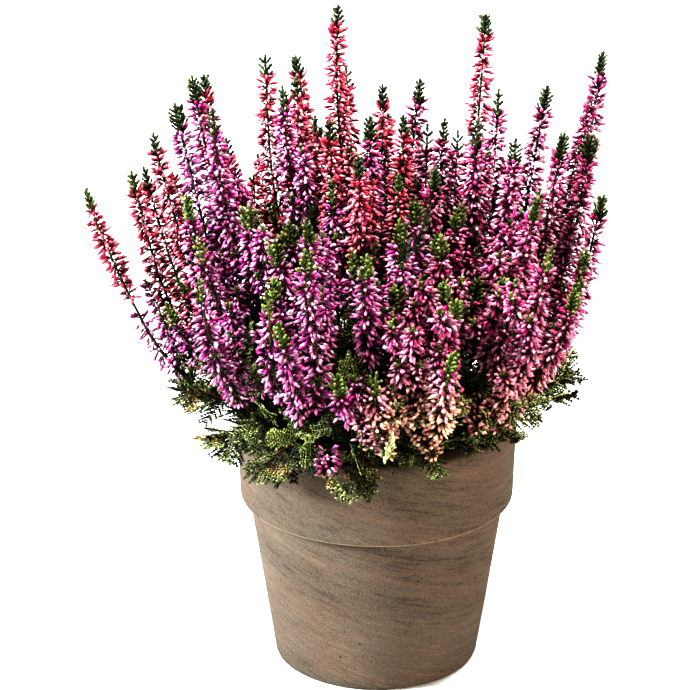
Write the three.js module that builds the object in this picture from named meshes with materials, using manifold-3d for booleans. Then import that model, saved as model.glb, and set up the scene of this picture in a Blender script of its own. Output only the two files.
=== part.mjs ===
// Potted heather: three young bud heathers (red, purple and pink) grown together in one clay pot.
// Millimetres, +Z up. The pot stands on z = 0, and the group is centred on its own bounding box.
import * as THREE from 'three';
import { mergeVertices } from 'three/addons/utils/BufferGeometryUtils.js';
import Module from 'manifold-3d';

const wasm = await Module();
wasm.setup();

// ---------------------------------------------------------------- driving dimensions

const POT = {
  height: 130,
  rimRadius: 70, // outside of the band at the mouth
  bandFoot: 87.5, // height of the band's lower edge
  bandFootRadius: 68.9,
  bodyRadius: 64.6, // outside of the body just under the band
  baseRadius: 51.8,
  mouthRadius: 58.5, // inside of the wall at the mouth
  floorRadius: 43.5, // inside of the wall at the floor
  floor: 9,
  drainRadius: 8,
  edge: 2.6, // rounding of the rim and the base
  bandEdge: 1.3, // rounding of the band's lower edge
  sides: 36,
};

const SOIL = {
  top: 118,
  edge: 1.5, // the soil is a little lower at the wall
  mound: 3,
  lump: 1.1,
  lumpWidth: 5.5,
  sides: 24,
  rings: [0.72, 0.35], // shares of the radius where its top has corners
};
const CLEARANCE = 0.3; // between pieces that rest on each other

const STEM = { foot: 109.5, radius: 2.1, branchRadius: 1.5, topRadius: 1.5, ringStep: 13 };
const AXIS_STEP = 1.5; // of height, between the points of a stem's axis

// The plants open like a vase: a stem keeps its place in every level slice, and the slices widen upwards.
const VASE = { root: 50, flareFrom: 131, flareBlend: 6, flare: 45, flareHeight: 20, lean: 0.25 };

const COLOURS = {
  red: { colour: 0xb02a4c, budReach: 6.9, tipLength: 13 },
  purple: { colour: 0xa8459a, budReach: 7.5, tipLength: 17 },
  pink: { colour: 0xd070a8, budReach: 7.5, tipLength: 16 },
};

// Flower spikes that are seen from the front: rows from the back to the front, each with its depth y
// and, for each spike, the side x and the height z of its tip.
const SPIKE_ROWS = [
  { y: 60, red: [[-87, 288], [-43, 296]], pink: [[21, 286], [40, 259]] },
  { y: 53, red: [[-17, 293]] },
  { y: 45, red: [[-56, 301], [54, 323]], pink: [[113, 304]] },
  { y: 39, red: [[-116, 246], [-31, 273], [1, 289]], pink: [[25, 269]] },
  { y: 30, red: [[-21, 333]], purple: [[-90, 297]] },
  { y: 23, red: [[-109, 270], [-56, 234], [-39, 299]], pink: [[59, 292], [83, 294], [107, 269]] },
  { y: 14, red: [[14, 281], [-71, 270]], pink: [[31, 279]] },
  { y: 1, red: [[-121, 258], [-50, 238], [-26, 281]], purple: [[-95, 292], [-1, 286]] },
  { y: 0, pink: [[48, 283], [90, 277], [112, 245]] },
  { y: -8, red: [[-141, 252]], purple: [[-45, 304]], pink: [[26, 262]] },
  { y: -18, red: [[11, 261]], purple: [[-79, 295], [-27, 261]], pink: [[65, 280], [102, 223]] },
  { y: -29, purple: [[-93, 255], [-43, 243]], pink: [[38, 250]] },
  { y: -37, red: [[-12, 278]], purple: [[-62, 253], [19, 257]], pink: [[75, 257], [46, 217], [96, 216]] },
  { y: -48, purple: [[-84, 241], [-25, 241], [-48, 240]], pink: [[29, 243]] },
  { y: -57, purple: [[9, 252], [-14, 238], [-65, 189]], pink: [[60, 224], [92, 218]] },
  { y: -68, purple: [[-50, 229]], pink: [[31, 226], [10, 225]] },
  { y: -78, purple: [[-32, 260], [-84, 232]], pink: [[80, 247], [12, 192]] },
  { y: -88, purple: [[-53, 228], [-5, 247]], pink: [[34, 224]] },
  { y: -97, purple: [[-34, 252], [-17, 192], [-47, 219], [-1, 192]], pink: [[35, 204]] },
];

// The rest of the flower spikes fill the vase evenly, on a sunflower spiral, with the crown of the plant
// in the middle and its shoulder lower all round. Sides and depths here are shares of the slice's radius.
const FILL = {
  places: 150,
  spacing: 0.168,
  reach: 0.95,
  crown: 236,
  shoulder: 194,
  shoulderFrom: 0.35,
  shoulderTo: 0.95,
  jitter: 9,
  seed: 11,
  pinkFrom: 0.12,
  purpleInFrontOf: -0.1,
  purpleLeftOf: -0.6,
};

const SPIKE = {
  spacing: 0.166, // of the slice's radius, between two spikes
  bloomFoot: 150, // where flowers start on an outer spike
  bloomFootInside: 194, // and on an inner one
  innerTo: 0.45,
  outerFrom: 0.95,
  leastBloom: 42,
  budStep: 15, // from whorl to whorl
  coreShare: 0.5, // of the reach of the buds
  budLift: 0.42, // of a whorl, how far a bud points up
  leafReach: 3.6, // of the green leaves at the tip
  leafCore: 0.58, // of their reach
  leafShare: 0.45, // of the tip that they cover
  greenReach: 4.8, // of the green shoots just under the flowers
};

// The buds' reach along a spike: smaller at the foot, full in the middle, smaller again at the top.
const BLOOM = { foot: 0.62, fullFrom: 0.25, fadeFrom: 0.5, top: 0.6 };

const SPRAYS = {
  most: 44,
  reach: 0.26, // between two spikes on one stem
  rootReach: 0.92,
  rootSpacing: 0.11,
  forkAt: 124,
  forkStep: 8,
  spread: 30, // of height, until a spike stands in its own place
};

// Leafy shoots under the flowers: [bearing in degrees, reach from the pot's axis, height of the tip].
const LEAFY = [
  [172, 99, 143], [203, 103, 158], [213, 98, 138], [233, 94, 130], [251, 90, 137], [264, 79, 119],
  [280, 88, 139], [303, 85, 142], [321, 88, 138], [345, 101, 150], [6, 98, 147], [42, 98, 148],
  [62, 97, 143], [84, 96, 148], [109, 98, 141], [129, 97, 148], [151, 98, 145],
];
const SHOOT = {
  colour: 0x5f7a3c,
  root: 51, // distance of its foot from the pot's axis
  straightTo: 122.5,
  clearsRimAt: 141,
  radius: 1.9,
  twigStep: 7,
  bare: 13, // stem without twigs above the soil
  tipLength: 14,
  leafReach: 3.2,
  twigLength: 16,
  twigRadius: 1.1,
  twigSpread: 0.94, // sideways, for each mm along the shoot
  twigWaist: 0.45, // of its length, where it starts to taper
  shortSide: 0.85,
  lieFrom: 22, // before its tip a shoot lies out flat
  droopBelow: 133, // a tip lower than this hangs over the rim
  droopOver: 12,
  droopBend: 4,
  droopHeight: 146,
};

// ---------------------------------------------------------------- small helpers

const vec = (x, y, z) => new THREE.Vector3(x, y, z);
const clamp01 = (t) => Math.min(1, Math.max(0, t));
const smooth = (t) => clamp01(t) * clamp01(t) * (3 - 2 * clamp01(t));
const mix = (a, b, t) => a + (b - a) * t;

// A small seeded generator of numbers from 0 to 1.
function makeRandom(seed) {
  let state = seed;
  return () => {
    state = (state + 0x6d2b79f5) | 0;
    let t = Math.imul(state ^ (state >>> 15), 1 | state);
    t = (t + Math.imul(t ^ (t >>> 7), 61 | t)) ^ t;
    return ((t ^ (t >>> 14)) >>> 0) / 4294967296;
  };
}

function toManifold(geometry) {
  const bare = geometry.clone();
  bare.deleteAttribute('normal');
  bare.deleteAttribute('uv');
  const merged = mergeVertices(bare, 1e-4);
  return new wasm.Manifold(new wasm.Mesh({
    numProp: 3,
    vertProperties: new Float32Array(merged.attributes.position.array),
    triVerts: new Uint32Array(merged.index.array),
  }));
}

function toGeometry(manifold) {
  const mesh = manifold.getMesh();
  const geometry = new THREE.BufferGeometry();
  geometry.setAttribute('position', new THREE.BufferAttribute(new Float32Array(mesh.vertProperties), 3));
  geometry.setIndex(new THREE.BufferAttribute(new Uint32Array(mesh.triVerts), 1));
  return geometry;
}

function geometryFrom(points, triangles) {
  const geometry = new THREE.BufferGeometry();
  geometry.setAttribute('position', new THREE.Float32BufferAttribute(points.flatMap((p) => p.toArray()), 3));
  geometry.setIndex(triangles);
  return geometry;
}

// ---------------------------------------------------------------- pot and soil

function arc(cx, cz, radius, from, to, steps) {
  return Array.from({ length: steps + 1 }, (_, i) => {
    const angle = THREE.MathUtils.degToRad(mix(from, to, i / steps));
    return new THREE.Vector2(cx + radius * Math.cos(angle), cz + radius * Math.sin(angle));
  });
}

function innerRadius(z) {
  return mix(POT.floorRadius, POT.mouthRadius, (z - POT.floor) / (POT.height - POT.floor));
}

function turned(profile, sides) {
  return new THREE.LatheGeometry(profile, sides).rotateX(Math.PI / 2);
}

function potGeometry() {
  const { edge } = POT;
  const profile = [
    new THREE.Vector2(POT.drainRadius, 0),
    ...arc(POT.baseRadius - edge, edge, edge, -90, 0, 2),
    new THREE.Vector2(POT.bodyRadius, POT.bandFoot),
    new THREE.Vector2(POT.bandFootRadius - POT.bandEdge, POT.bandFoot),
    new THREE.Vector2(POT.bandFootRadius, POT.bandFoot + POT.bandEdge),
    ...arc(POT.rimRadius - edge, POT.height - edge, edge, 0, 90, 3),
    ...arc(POT.mouthRadius + edge, POT.height - edge, edge, 90, 180, 2),
    new THREE.Vector2(POT.floorRadius, POT.floor),
    new THREE.Vector2(POT.drainRadius, POT.floor),
    new THREE.Vector2(POT.drainRadius, 0),
  ];
  return turned(profile, POT.sides);
}

function soilHeight(x, y) {
  const share = Math.hypot(x, y) / innerRadius(SOIL.top);
  const lumps = Math.sin(x / SOIL.lumpWidth + 1) * Math.cos(y / SOIL.lumpWidth);
  return SOIL.top + SOIL.mound * (1 - share * share) + SOIL.lump * lumps;
}

// The soil fills the pot; its sides keep clear of the flats of the wall.
function soilGeometry(holes) {
  const bottom = POT.floor + CLEARANCE;
  const wallTop = SOIL.top - SOIL.edge;
  const side = (z) => innerRadius(z) * Math.cos(Math.PI / POT.sides) - CLEARANCE;
  const profile = [
    new THREE.Vector2(0, bottom),
    new THREE.Vector2(side(bottom), bottom),
    new THREE.Vector2(side(wallTop), wallTop),
    ...SOIL.rings.map((share) => new THREE.Vector2(share * side(wallTop), SOIL.top)),
    new THREE.Vector2(0, SOIL.top),
  ];
  const geometry = turned(profile, SOIL.sides);
  const position = geometry.attributes.position;
  for (let i = 0; i < position.count; i += 1) {
    if (position.getZ(i) > wallTop + CLEARANCE) {
      position.setZ(i, soilHeight(position.getX(i), position.getY(i)));
    }
  }
  const solid = holes.reduce((rest, hole) => rest.subtract(toManifold(hole)), toManifold(geometry));
  return toGeometry(solid);
}

// ---------------------------------------------------------------- where the spikes stand

function sliceRadius(z) {
  const up = z - VASE.flareFrom;
  const rise = 0.5 * (up + Math.hypot(up, VASE.flareBlend));
  return VASE.root + VASE.flare * (1 - Math.exp(-rise / VASE.flareHeight)) + VASE.lean * rise;
}

function listedSpikes() {
  return SPIKE_ROWS.flatMap(({ y, ...tips }) => Object.entries(tips).flatMap(([kind, places]) => (
    places.map(([x, z]) => ({ kind, u: x / sliceRadius(z), v: y / sliceRadius(z), top: z }))
  )));
}

const apart = (a, b) => Math.hypot(a.u - b.u, a.v - b.v);

// Each pair that stands too close moves apart, mostly in depth.
function spreadOut(places, spacing) {
  const passes = 80;
  for (let pass = 0; pass < passes; pass += 1) {
    places.forEach((a, i) => places.slice(i + 1).forEach((b) => {
      const du = b.u - a.u;
      const dv = b.v - a.v;
      const distance = apart(a, b);
      if (distance < spacing) {
        const push = (0.5 * (spacing - distance)) / Math.max(distance, 0.01);
        a.u -= 0.5 * push * du;
        b.u += 0.5 * push * du;
        a.v -= push * dv;
        b.v += push * dv;
      }
    }));
  }
}

function kindAt(u, v) {
  if (u > FILL.pinkFrom) return 'pink';
  return v < FILL.purpleInFrontOf || u < FILL.purpleLeftOf ? 'purple' : 'red';
}

function fillSpikes(spikes) {
  const random = makeRandom(FILL.seed);
  const golden = Math.PI * (3 - Math.sqrt(5));
  for (let k = 0; k < FILL.places; k += 1) {
    const rho = FILL.reach * Math.sqrt((k + 0.5) / FILL.places);
    const place = { u: rho * Math.cos(k * golden), v: rho * Math.sin(k * golden) };
    const lift = FILL.jitter * (2 * random() - 1);
    if (spikes.every((other) => apart(other, place) > FILL.spacing)) {
      const fall = smooth((rho - FILL.shoulderFrom) / (FILL.shoulderTo - FILL.shoulderFrom));
      const top = mix(FILL.crown, FILL.shoulder, fall) + lift;
      spikes.push({ ...place, kind: kindAt(place.u, place.v), top });
    }
  }
}

function plantSpikes() {
  const spikes = listedSpikes();
  spreadOut(spikes, SPIKE.spacing);
  fillSpikes(spikes);
  spreadOut(spikes, SPIKE.spacing);
  return spikes;
}

// ---------------------------------------------------------------- sprays: neighbours on one stem

function nearest(spike, others) {
  return others.reduce((best, other) => (
    best === null || apart(spike, other) < apart(spike, best) ? other : best), null);
}

function rootOf(spray) {
  const mean = (key) => spray.reduce((sum, spike) => sum + spike[key], 0) / spray.length;
  const [u, v] = [mean('u'), mean('v')];
  const inside = Math.min(1, SPRAYS.rootReach / Math.hypot(u, v));
  return { u: u * inside, v: v * inside };
}

function groupSprays(spikes) {
  const outermostFirst = [...spikes].sort((a, b) => Math.hypot(b.u, b.v) - Math.hypot(a.u, a.v));
  const taken = new Set();
  const sprays = [];
  const singles = [];
  for (const spike of outermostFirst) {
    if (taken.has(spike)) continue;
    taken.add(spike);
    const mate = nearest(spike, spikes.filter((s) => !taken.has(s) && s.kind === spike.kind));
    if (mate !== null && apart(spike, mate) < SPRAYS.reach) {
      taken.add(mate);
      sprays.push([spike, mate]);
    } else {
      singles.push(spike);
    }
  }
  for (const spike of singles) {
    const mate = nearest(spike, sprays.filter((s) => s.length === 2 && s[0].kind === spike.kind).flat());
    const full = sprays.length >= SPRAYS.most;
    if (mate !== null && (full || apart(spike, mate) < SPRAYS.reach)) {
      sprays.find((spray) => spray.includes(mate)).push(spike);
    } else {
      sprays.push([spike]);
    }
  }
  const roots = sprays.map(rootOf);
  spreadOut(roots, SPRAYS.rootSpacing);
  return sprays.map((members, i) => ({ root: roots[i], spikes: members, kind: members[0].kind }));
}

// ---------------------------------------------------------------- axes of the stems

const inSlice = ({ u, v }, z) => vec(u * sliceRadius(z), v * sliceRadius(z), z);

// The first spike of a spray stands on the root; each other one forks from its stem a little higher.
function axisOf(spray, index) {
  const leader = (z) => inSlice(spray.root, z).lerp(
    inSlice(spray.spikes[0], z), smooth((z - SOIL.top) / SPRAYS.spread));
  if (index === 0) return { at: leader, foot: STEM.foot };
  const foot = SPRAYS.forkAt + SPRAYS.forkStep * (index - 1);
  const at = (z) => leader(z).lerp(inSlice(spray.spikes[index], z), smooth((z - foot) / SPRAYS.spread));
  return { at, foot };
}

// A dense chain of points that can be read at any distance from its start.
function chain(points) {
  const marks = [0];
  points.slice(1).forEach((point, i) => marks.push(marks[i] + point.distanceTo(points[i])));
  const length = marks[marks.length - 1];
  const at = (distance) => {
    const next = marks.findIndex((mark, i) => i > 0 && (mark >= distance || i === marks.length - 1));
    const share = clamp01((distance - marks[next - 1]) / (marks[next] - marks[next - 1]));
    return points[next - 1].clone().lerp(points[next], share);
  };
  return { length, at };
}

function axisChain(at, from, to) {
  const steps = Math.ceil((to - from) / AXIS_STEP);
  return chain(Array.from({ length: steps + 1 }, (_, i) => at(mix(from, to, i / steps))));
}

// ---------------------------------------------------------------- tubes with buds or leaves as relief

const SIDES = 3;

// A closed tube through rings of three points, as { centre, radius, raise }. A ring with a raise carries
// relief on the band above it, and the next ring is turned by half a side: raise gets the middle of each
// of the band's triangles and says what grows there, a tip with or without a waist below it.
function reliefTube(rings, end, normal = vec(1, 0, 0)) {
  const points = [];
  const triangles = [];
  const centres = [...rings.map((ring) => ring.centre), end];
  let turn = 0;
  let across = normal;
  rings.forEach((ring, k) => {
    const along = centres[k + 1].clone().sub(centres[Math.max(0, k - 1)]).normalize();
    across = across.clone().addScaledVector(along, -across.dot(along)).normalize();
    const side = along.clone().cross(across);
    turn += k > 0 && rings[k - 1].raise ? Math.PI / SIDES : 0;
    for (let i = 0; i < SIDES; i += 1) {
      const angle = turn + (2 * Math.PI * i) / SIDES;
      points.push(ring.centre.clone()
        .addScaledVector(across, ring.radius * Math.cos(angle))
        .addScaledVector(side, ring.radius * Math.sin(angle)));
    }
  });

  const pointed = (corners, tip) => {
    points.push(tip);
    corners.forEach((corner, i) => triangles.push(corner, corners[(i + 1) % SIDES], points.length - 1));
  };
  const raised = (corners, band) => {
    const middle = vec(0, 0, 0);
    corners.forEach((corner) => middle.addScaledVector(points[corner], 1 / SIDES));
    const up = centres[band + 1].clone().sub(centres[band]);
    const share = middle.clone().sub(centres[band]).dot(up) / up.lengthSq();
    const axis = centres[band].clone().addScaledVector(up, share);
    const growth = rings[band].raise({ axis, up, out: middle.clone().sub(axis).normalize() });
    if (!growth) {
      triangles.push(...corners);
    } else if (!growth.waist) {
      pointed(corners, growth.tip);
    } else {
      const first = points.length;
      const along = growth.tip.clone().sub(growth.waist).normalize();
      corners.forEach((corner) => {
        const arm = points[corner].clone().sub(middle);
        arm.addScaledVector(along, -arm.dot(along)).setLength(growth.radius);
        points.push(growth.waist.clone().add(arm));
      });
      corners.forEach((corner, i) => {
        const next = (i + 1) % SIDES;
        triangles.push(corner, corners[next], first + next, corner, first + next, first + i);
      });
      pointed([first, first + 1, first + 2], growth.tip);
    }
  };
  rings.slice(1).forEach((_, band) => {
    for (let i = 0; i < SIDES; i += 1) {
      const a = band * SIDES + i;
      const b = band * SIDES + ((i + 1) % SIDES);
      if (rings[band].raise) {
        raised([a, b, a + SIDES], band);
        raised([b, b + SIDES, a + SIDES], band);
      } else {
        triangles.push(a, b, b + SIDES, a, b + SIDES, a + SIDES);
      }
    }
  });
  triangles.push(2, 1, 0);
  const last = (rings.length - 1) * SIDES;
  pointed([last, last + 1, last + 2], end);
  return geometryFrom(points, triangles);
}

// A bud or a leaf: it reaches out from the axis and points up by a share of the band's height.
function bract(reach) {
  return ({ axis, up, out }) => (
    { tip: axis.clone().addScaledVector(out, reach).addScaledVector(up, SPIKE.budLift) });
}

function bloomFoot(spike) {
  const outward = (Math.hypot(spike.u, spike.v) - SPIKE.innerTo) / (SPIKE.outerFrom - SPIKE.innerTo);
  const foot = mix(SPIKE.bloomFootInside, SPIKE.bloomFoot, smooth(outward));
  return Math.min(foot, spike.top - SPIKE.leastBloom);
}

function bloomShape(share) {
  const swell = mix(BLOOM.foot, 1, smooth(share / BLOOM.fullFrom));
  return swell * mix(1, BLOOM.top, smooth((share - BLOOM.fadeFrom) / (1 - BLOOM.fadeFrom)));
}

function spikeRings(axis, spike, stemRadius) {
  const { budReach, tipLength } = COLOURS[spike.kind];
  const line = axisChain(axis.at, axis.foot, spike.top);
  const bloomStart = axisChain(axis.at, axis.foot, bloomFoot(spike)).length;
  const bloomEnd = line.length - tipLength;
  const rings = [];
  const stemSteps = Math.max(3, Math.round(bloomStart / STEM.ringStep));
  for (let i = 0; i < stemSteps; i += 1) {
    const radius = mix(stemRadius, STEM.topRadius, i / stemSteps);
    rings.push({ centre: line.at((bloomStart * i) / stemSteps), radius });
  }
  rings[stemSteps - 1].raise = bract(SPIKE.greenReach);
  const whorls = Math.max(2, Math.round((bloomEnd - bloomStart) / SPIKE.budStep));
  for (let i = 0; i < whorls; i += 1) {
    const reach = budReach * bloomShape((i + 0.5) / whorls);
    rings.push({
      centre: line.at(mix(bloomStart, bloomEnd, i / whorls)),
      radius: reach * SPIKE.coreShare,
      raise: bract(reach),
    });
  }
  const leafCore = SPIKE.leafReach * SPIKE.leafCore;
  rings.push({ centre: line.at(bloomEnd), radius: leafCore, raise: bract(SPIKE.leafReach) });
  rings.push({ centre: line.at(bloomEnd + SPIKE.leafShare * tipLength), radius: leafCore });
  return { rings, tip: line.at(line.length) };
}

function spraySolid(spray) {
  const solids = spray.spikes.map((spike, index) => {
    const { rings, tip } = spikeRings(axisOf(spray, index), spike, index ? STEM.branchRadius : STEM.radius);
    return toManifold(reliefTube(rings, tip));
  });
  return toGeometry(solids.reduce((all, solid) => all.add(solid)));
}

// A plain hole in the soil, the stem's own foot made wider and a little deeper.
function holeFor([foot, above], normal) {
  const down = foot.centre.clone().sub(above.centre).normalize();
  const wide = [foot, above].map(({ centre, radius }) => ({ centre, radius: radius + 2 * CLEARANCE }));
  wide[0].centre = foot.centre.clone().addScaledVector(down, CLEARANCE);
  return reliefTube(wide, above.centre.clone().addScaledVector(down, -1), normal);
}

// ---------------------------------------------------------------- leafy shoots round the rim

function shootFrame(bearing) {
  const angle = THREE.MathUtils.degToRad(bearing);
  const out = vec(Math.cos(angle), Math.sin(angle), 0);
  return { out, across: vec(-out.y, out.x, 0), at: (r, z) => vec(out.x * r, out.y * r, z) };
}

function shootChain([bearing, reach, tipHeight]) {
  const { at } = shootFrame(bearing);
  const droop = clamp01((SHOOT.droopBelow - tipHeight) / SHOOT.droopOver);
  const curve = new THREE.CubicBezierCurve3(
    at(SHOOT.root, SHOOT.straightTo),
    at(SHOOT.root, SHOOT.clearsRimAt),
    at(reach - mix(SHOOT.lieFrom, SHOOT.droopBend, droop),
      mix(Math.max(tipHeight - 8, SHOOT.clearsRimAt - 5), SHOOT.droopHeight, droop)),
    at(reach, tipHeight),
  );
  return chain([at(SHOOT.root, STEM.foot), ...curve.getPoints(40)]);
}

// Twigs leave the shoot on both sides, longest half way. Leaves grow between them.
function twig(across, share) {
  return ({ axis, up, out }) => {
    const side = out.dot(across);
    if (Math.abs(side) < 0.9) return bract(SHOOT.leafReach)({ axis, up, out });
    const longest = SHOOT.twigLength * (side > 0 ? 1 : SHOOT.shortSide);
    const direction = up.clone().normalize().addScaledVector(out, SHOOT.twigSpread);
    direction.setLength(longest * (0.5 + 0.5 * Math.sin(Math.PI * share)));
    const waist = axis.clone().addScaledVector(direction, SHOOT.twigWaist);
    return { waist, radius: SHOOT.twigRadius, tip: axis.clone().add(direction) };
  };
}

function shootRings(line, across) {
  const straight = SHOOT.straightTo - STEM.foot;
  const twigStart = straight + SHOOT.bare;
  const twigEnd = line.length - SHOOT.tipLength;
  const steps = Math.round((twigEnd - twigStart) / SHOOT.twigStep);
  const rings = [0, straight].map((distance) => ({ centre: line.at(distance), radius: SHOOT.radius }));
  for (let i = 0; i < steps; i += 1) {
    const centre = line.at(mix(twigStart, twigEnd, i / steps));
    rings.push({ centre, radius: SHOOT.radius, raise: twig(across, i / steps) });
  }
  rings.push({ centre: line.at(twigEnd), radius: SHOOT.radius, raise: bract(SHOOT.leafReach) });
  rings.push({ centre: line.at(twigEnd + 0.5 * SHOOT.tipLength), radius: 0.8 * SHOOT.radius });
  return rings;
}

function leafyShoot(place) {
  const line = shootChain(place);
  const { across } = shootFrame(place[0]);
  const rings = shootRings(line, across);
  return { geometry: reliefTube(rings, line.at(line.length), across), hole: holeFor(rings, across) };
}

// ---------------------------------------------------------------- assembly

const sprays = groupSprays(plantSpikes());
const shoots = LEAFY.map(leafyShoot);
const holes = [
  ...sprays.map((spray) => holeFor(spikeRings(axisOf(spray, 0), spray.spikes[0], STEM.radius).rings)),
  ...shoots.map((shoot) => shoot.hole),
];

const plant = new THREE.Group();
const number = (index) => String(index + 1).padStart(2, '0');

function addPiece(name, geometry, colour, roughness) {
  const material = new THREE.MeshStandardMaterial({ color: colour, roughness, metalness: 0 });
  const mesh = new THREE.Mesh(geometry, material);
  mesh.name = name;
  plant.add(mesh);
}

addPiece('pot', potGeometry(), 0x9a8672, 0.85);
addPiece('soil', soilGeometry(holes), 0x2b211b, 0.95);
sprays.forEach((spray, i) => {
  addPiece(`${spray.kind}_spray_${number(i)}`, spraySolid(spray), COLOURS[spray.kind].colour, 0.7);
});
shoots.forEach((shoot, i) => addPiece(`leafy_spray_${number(i)}`, shoot.geometry, SHOOT.colour, 0.75));

// The origin is the middle of the whole potted plant, on the surface that it stands on.
const middle = new THREE.Box3().setFromObject(plant, true).getCenter(vec(0, 0, 0));
plant.position.set(-middle.x, -middle.y, 0);
const potted = new THREE.Group();
potted.add(plant);

export default potted;
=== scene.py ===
"""Potted heather: the looks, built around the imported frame.

Lengths are in millimetres and places are measured from the pot's axis, until a mesh is made in metres in
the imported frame. u and v say where a stem stands in every level slice, as shares of the slice's radius.
"""

import math
from types import SimpleNamespace as Named

import bpy
import numpy as np
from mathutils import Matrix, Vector


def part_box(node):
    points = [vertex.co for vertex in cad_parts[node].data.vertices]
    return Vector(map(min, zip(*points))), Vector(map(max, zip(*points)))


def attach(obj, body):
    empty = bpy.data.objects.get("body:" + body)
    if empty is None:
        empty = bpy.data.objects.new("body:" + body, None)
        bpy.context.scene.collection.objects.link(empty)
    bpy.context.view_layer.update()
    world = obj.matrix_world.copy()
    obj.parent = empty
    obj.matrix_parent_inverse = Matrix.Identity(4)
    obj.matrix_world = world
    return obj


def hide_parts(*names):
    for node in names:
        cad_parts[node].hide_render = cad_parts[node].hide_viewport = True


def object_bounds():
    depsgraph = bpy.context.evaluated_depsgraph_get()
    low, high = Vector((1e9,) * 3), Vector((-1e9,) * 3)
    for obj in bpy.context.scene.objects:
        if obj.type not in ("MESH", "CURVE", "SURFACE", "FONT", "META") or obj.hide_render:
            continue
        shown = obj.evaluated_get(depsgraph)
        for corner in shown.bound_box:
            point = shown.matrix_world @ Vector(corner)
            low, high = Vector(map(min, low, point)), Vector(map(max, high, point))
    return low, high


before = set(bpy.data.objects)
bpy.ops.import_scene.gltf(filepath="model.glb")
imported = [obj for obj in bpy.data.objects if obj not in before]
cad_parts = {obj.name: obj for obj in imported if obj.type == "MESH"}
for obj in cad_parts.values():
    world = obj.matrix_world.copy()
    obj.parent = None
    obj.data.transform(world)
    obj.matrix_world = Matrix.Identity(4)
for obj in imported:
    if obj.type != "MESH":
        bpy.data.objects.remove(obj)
cad_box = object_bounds()

MM = 0.001
POT_LOW, POT_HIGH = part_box("pot")
AXIS = (np.array(POT_LOW) + np.array(POT_HIGH)) / 2 * np.array([1.0, 1.0, 0.0])
UP = np.array([0.0, 0.0, 1.0])

# ---- the plan of the plant, as in the part

VASE = Named(root=50, flare_from=131, flare_blend=6, flare=45, flare_height=20, lean=0.25)
SPIKE_ROWS = [  # y, and each kind's places in that row: x and the height of the tip
    (60, (("red", ((-87, 288), (-43, 296))), ("pink", ((21, 286), (40, 259))))),
    (53, (("red", ((-17, 293),)),)),
    (45, (("red", ((-56, 301), (54, 323))), ("pink", ((113, 304),)))),
    (39, (("red", ((-116, 246), (-31, 273), (1, 289))), ("pink", ((25, 269),)))),
    (30, (("red", ((-21, 333),)), ("purple", ((-90, 297),)))),
    (23, (("red", ((-109, 270), (-56, 234), (-39, 299))), ("pink", ((59, 292), (83, 294), (107, 269))))),
    (14, (("red", ((14, 281), (-71, 270))), ("pink", ((31, 279),)))),
    (1, (("red", ((-121, 258), (-50, 238), (-26, 281))), ("purple", ((-95, 292), (-1, 286))))),
    (0, (("pink", ((48, 283), (90, 277), (112, 245))),)),
    (-8, (("red", ((-141, 252),)), ("purple", ((-45, 304),)), ("pink", ((26, 262),)))),
    (-18, (("red", ((11, 261),)), ("purple", ((-79, 295), (-27, 261))), ("pink", ((65, 280), (102, 223))))),
    (-29, (("purple", ((-93, 255), (-43, 243))), ("pink", ((38, 250),)))),
    (-37, (("red", ((-12, 278),)), ("purple", ((-62, 253), (19, 257))),
           ("pink", ((75, 257), (46, 217), (96, 216))))),
    (-48, (("purple", ((-84, 241), (-25, 241), (-48, 240))), ("pink", ((29, 243),)))),
    (-57, (("purple", ((9, 252), (-14, 238), (-65, 189))), ("pink", ((60, 224), (92, 218))))),
    (-68, (("purple", ((-50, 229),)), ("pink", ((31, 226), (10, 225))))),
    (-78, (("purple", ((-32, 260), (-84, 232))), ("pink", ((80, 247), (12, 192))))),
    (-88, (("purple", ((-53, 228), (-5, 247))), ("pink", ((34, 224),)))),
    (-97, (("purple", ((-34, 252), (-17, 192), (-47, 219), (-1, 192))), ("pink", ((35, 204),)))),
]
FILL = Named(
    places=150, spacing=0.168, reach=0.95, crown=236, shoulder=194, shoulder_from=0.35,
    shoulder_to=0.95, jitter=9, seed=11, pink_from=0.12, purple_in_front_of=-0.1,
    purple_left_of=-0.6,
)
SPIKE = Named(
    spacing=0.166, bloom_foot=150, bloom_foot_inside=194, inner_to=0.45, outer_from=0.95,
    least_bloom=42,
)
KINDS = {  # few_pale: the higher, the fewer buds with a strong painted highlight on top; bare: stem below the buds
    "red": Named(
        bud_reach=7.5, bud_radius=0.86, whorl_step=2.6, whorl_jitter=0.6, per_whorl=7,
        few_pale=1.0, young=0.9, core=3.4, bare=4, tip=13, tip_size=1.02,
    ),
    "purple": Named(
        bud_reach=7.6, bud_radius=0.86, whorl_step=2.5, whorl_jitter=1.0, per_whorl=7,
        few_pale=1.2, young=0.55, core=4.2, bare=15, tip=17, tip_size=1.15,
    ),
    "pink": Named(
        bud_reach=7.6, bud_radius=0.88, whorl_step=2.5, whorl_jitter=1.0, per_whorl=8,
        few_pale=1.0, young=0.55, core=4.0, bare=2, tip=16, tip_size=1.12,
    ),
}
SPRAYS = Named(
    most=44, reach=0.26, root_reach=0.92, root_spacing=0.11, fork_at=124, fork_step=8,
    spread=30,
)
SOIL_TOP = 118
STEM_FOOT = 109.5
STEM_STEP = 1.5
LEAFY = [  # bearing in degrees, reach and height of the tip
    (172, 99, 143), (203, 103, 158), (213, 98, 138), (233, 94, 130), (251, 90, 137), (264, 79, 119),
    (280, 88, 139), (303, 85, 142), (321, 88, 138), (345, 101, 150), (6, 98, 147), (42, 98, 148),
    (62, 97, 143), (84, 96, 148), (109, 98, 141), (129, 97, 148), (151, 98, 145),
]
SHOOT = Named(
    root=51, straight_to=122.5, clears_rim_at=141, lie_from=22, above_tip=-8, least_bend=136,
    droop_below=133, droop_over=12, droop_bend=4, droop_height=146, points=41,
)


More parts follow.
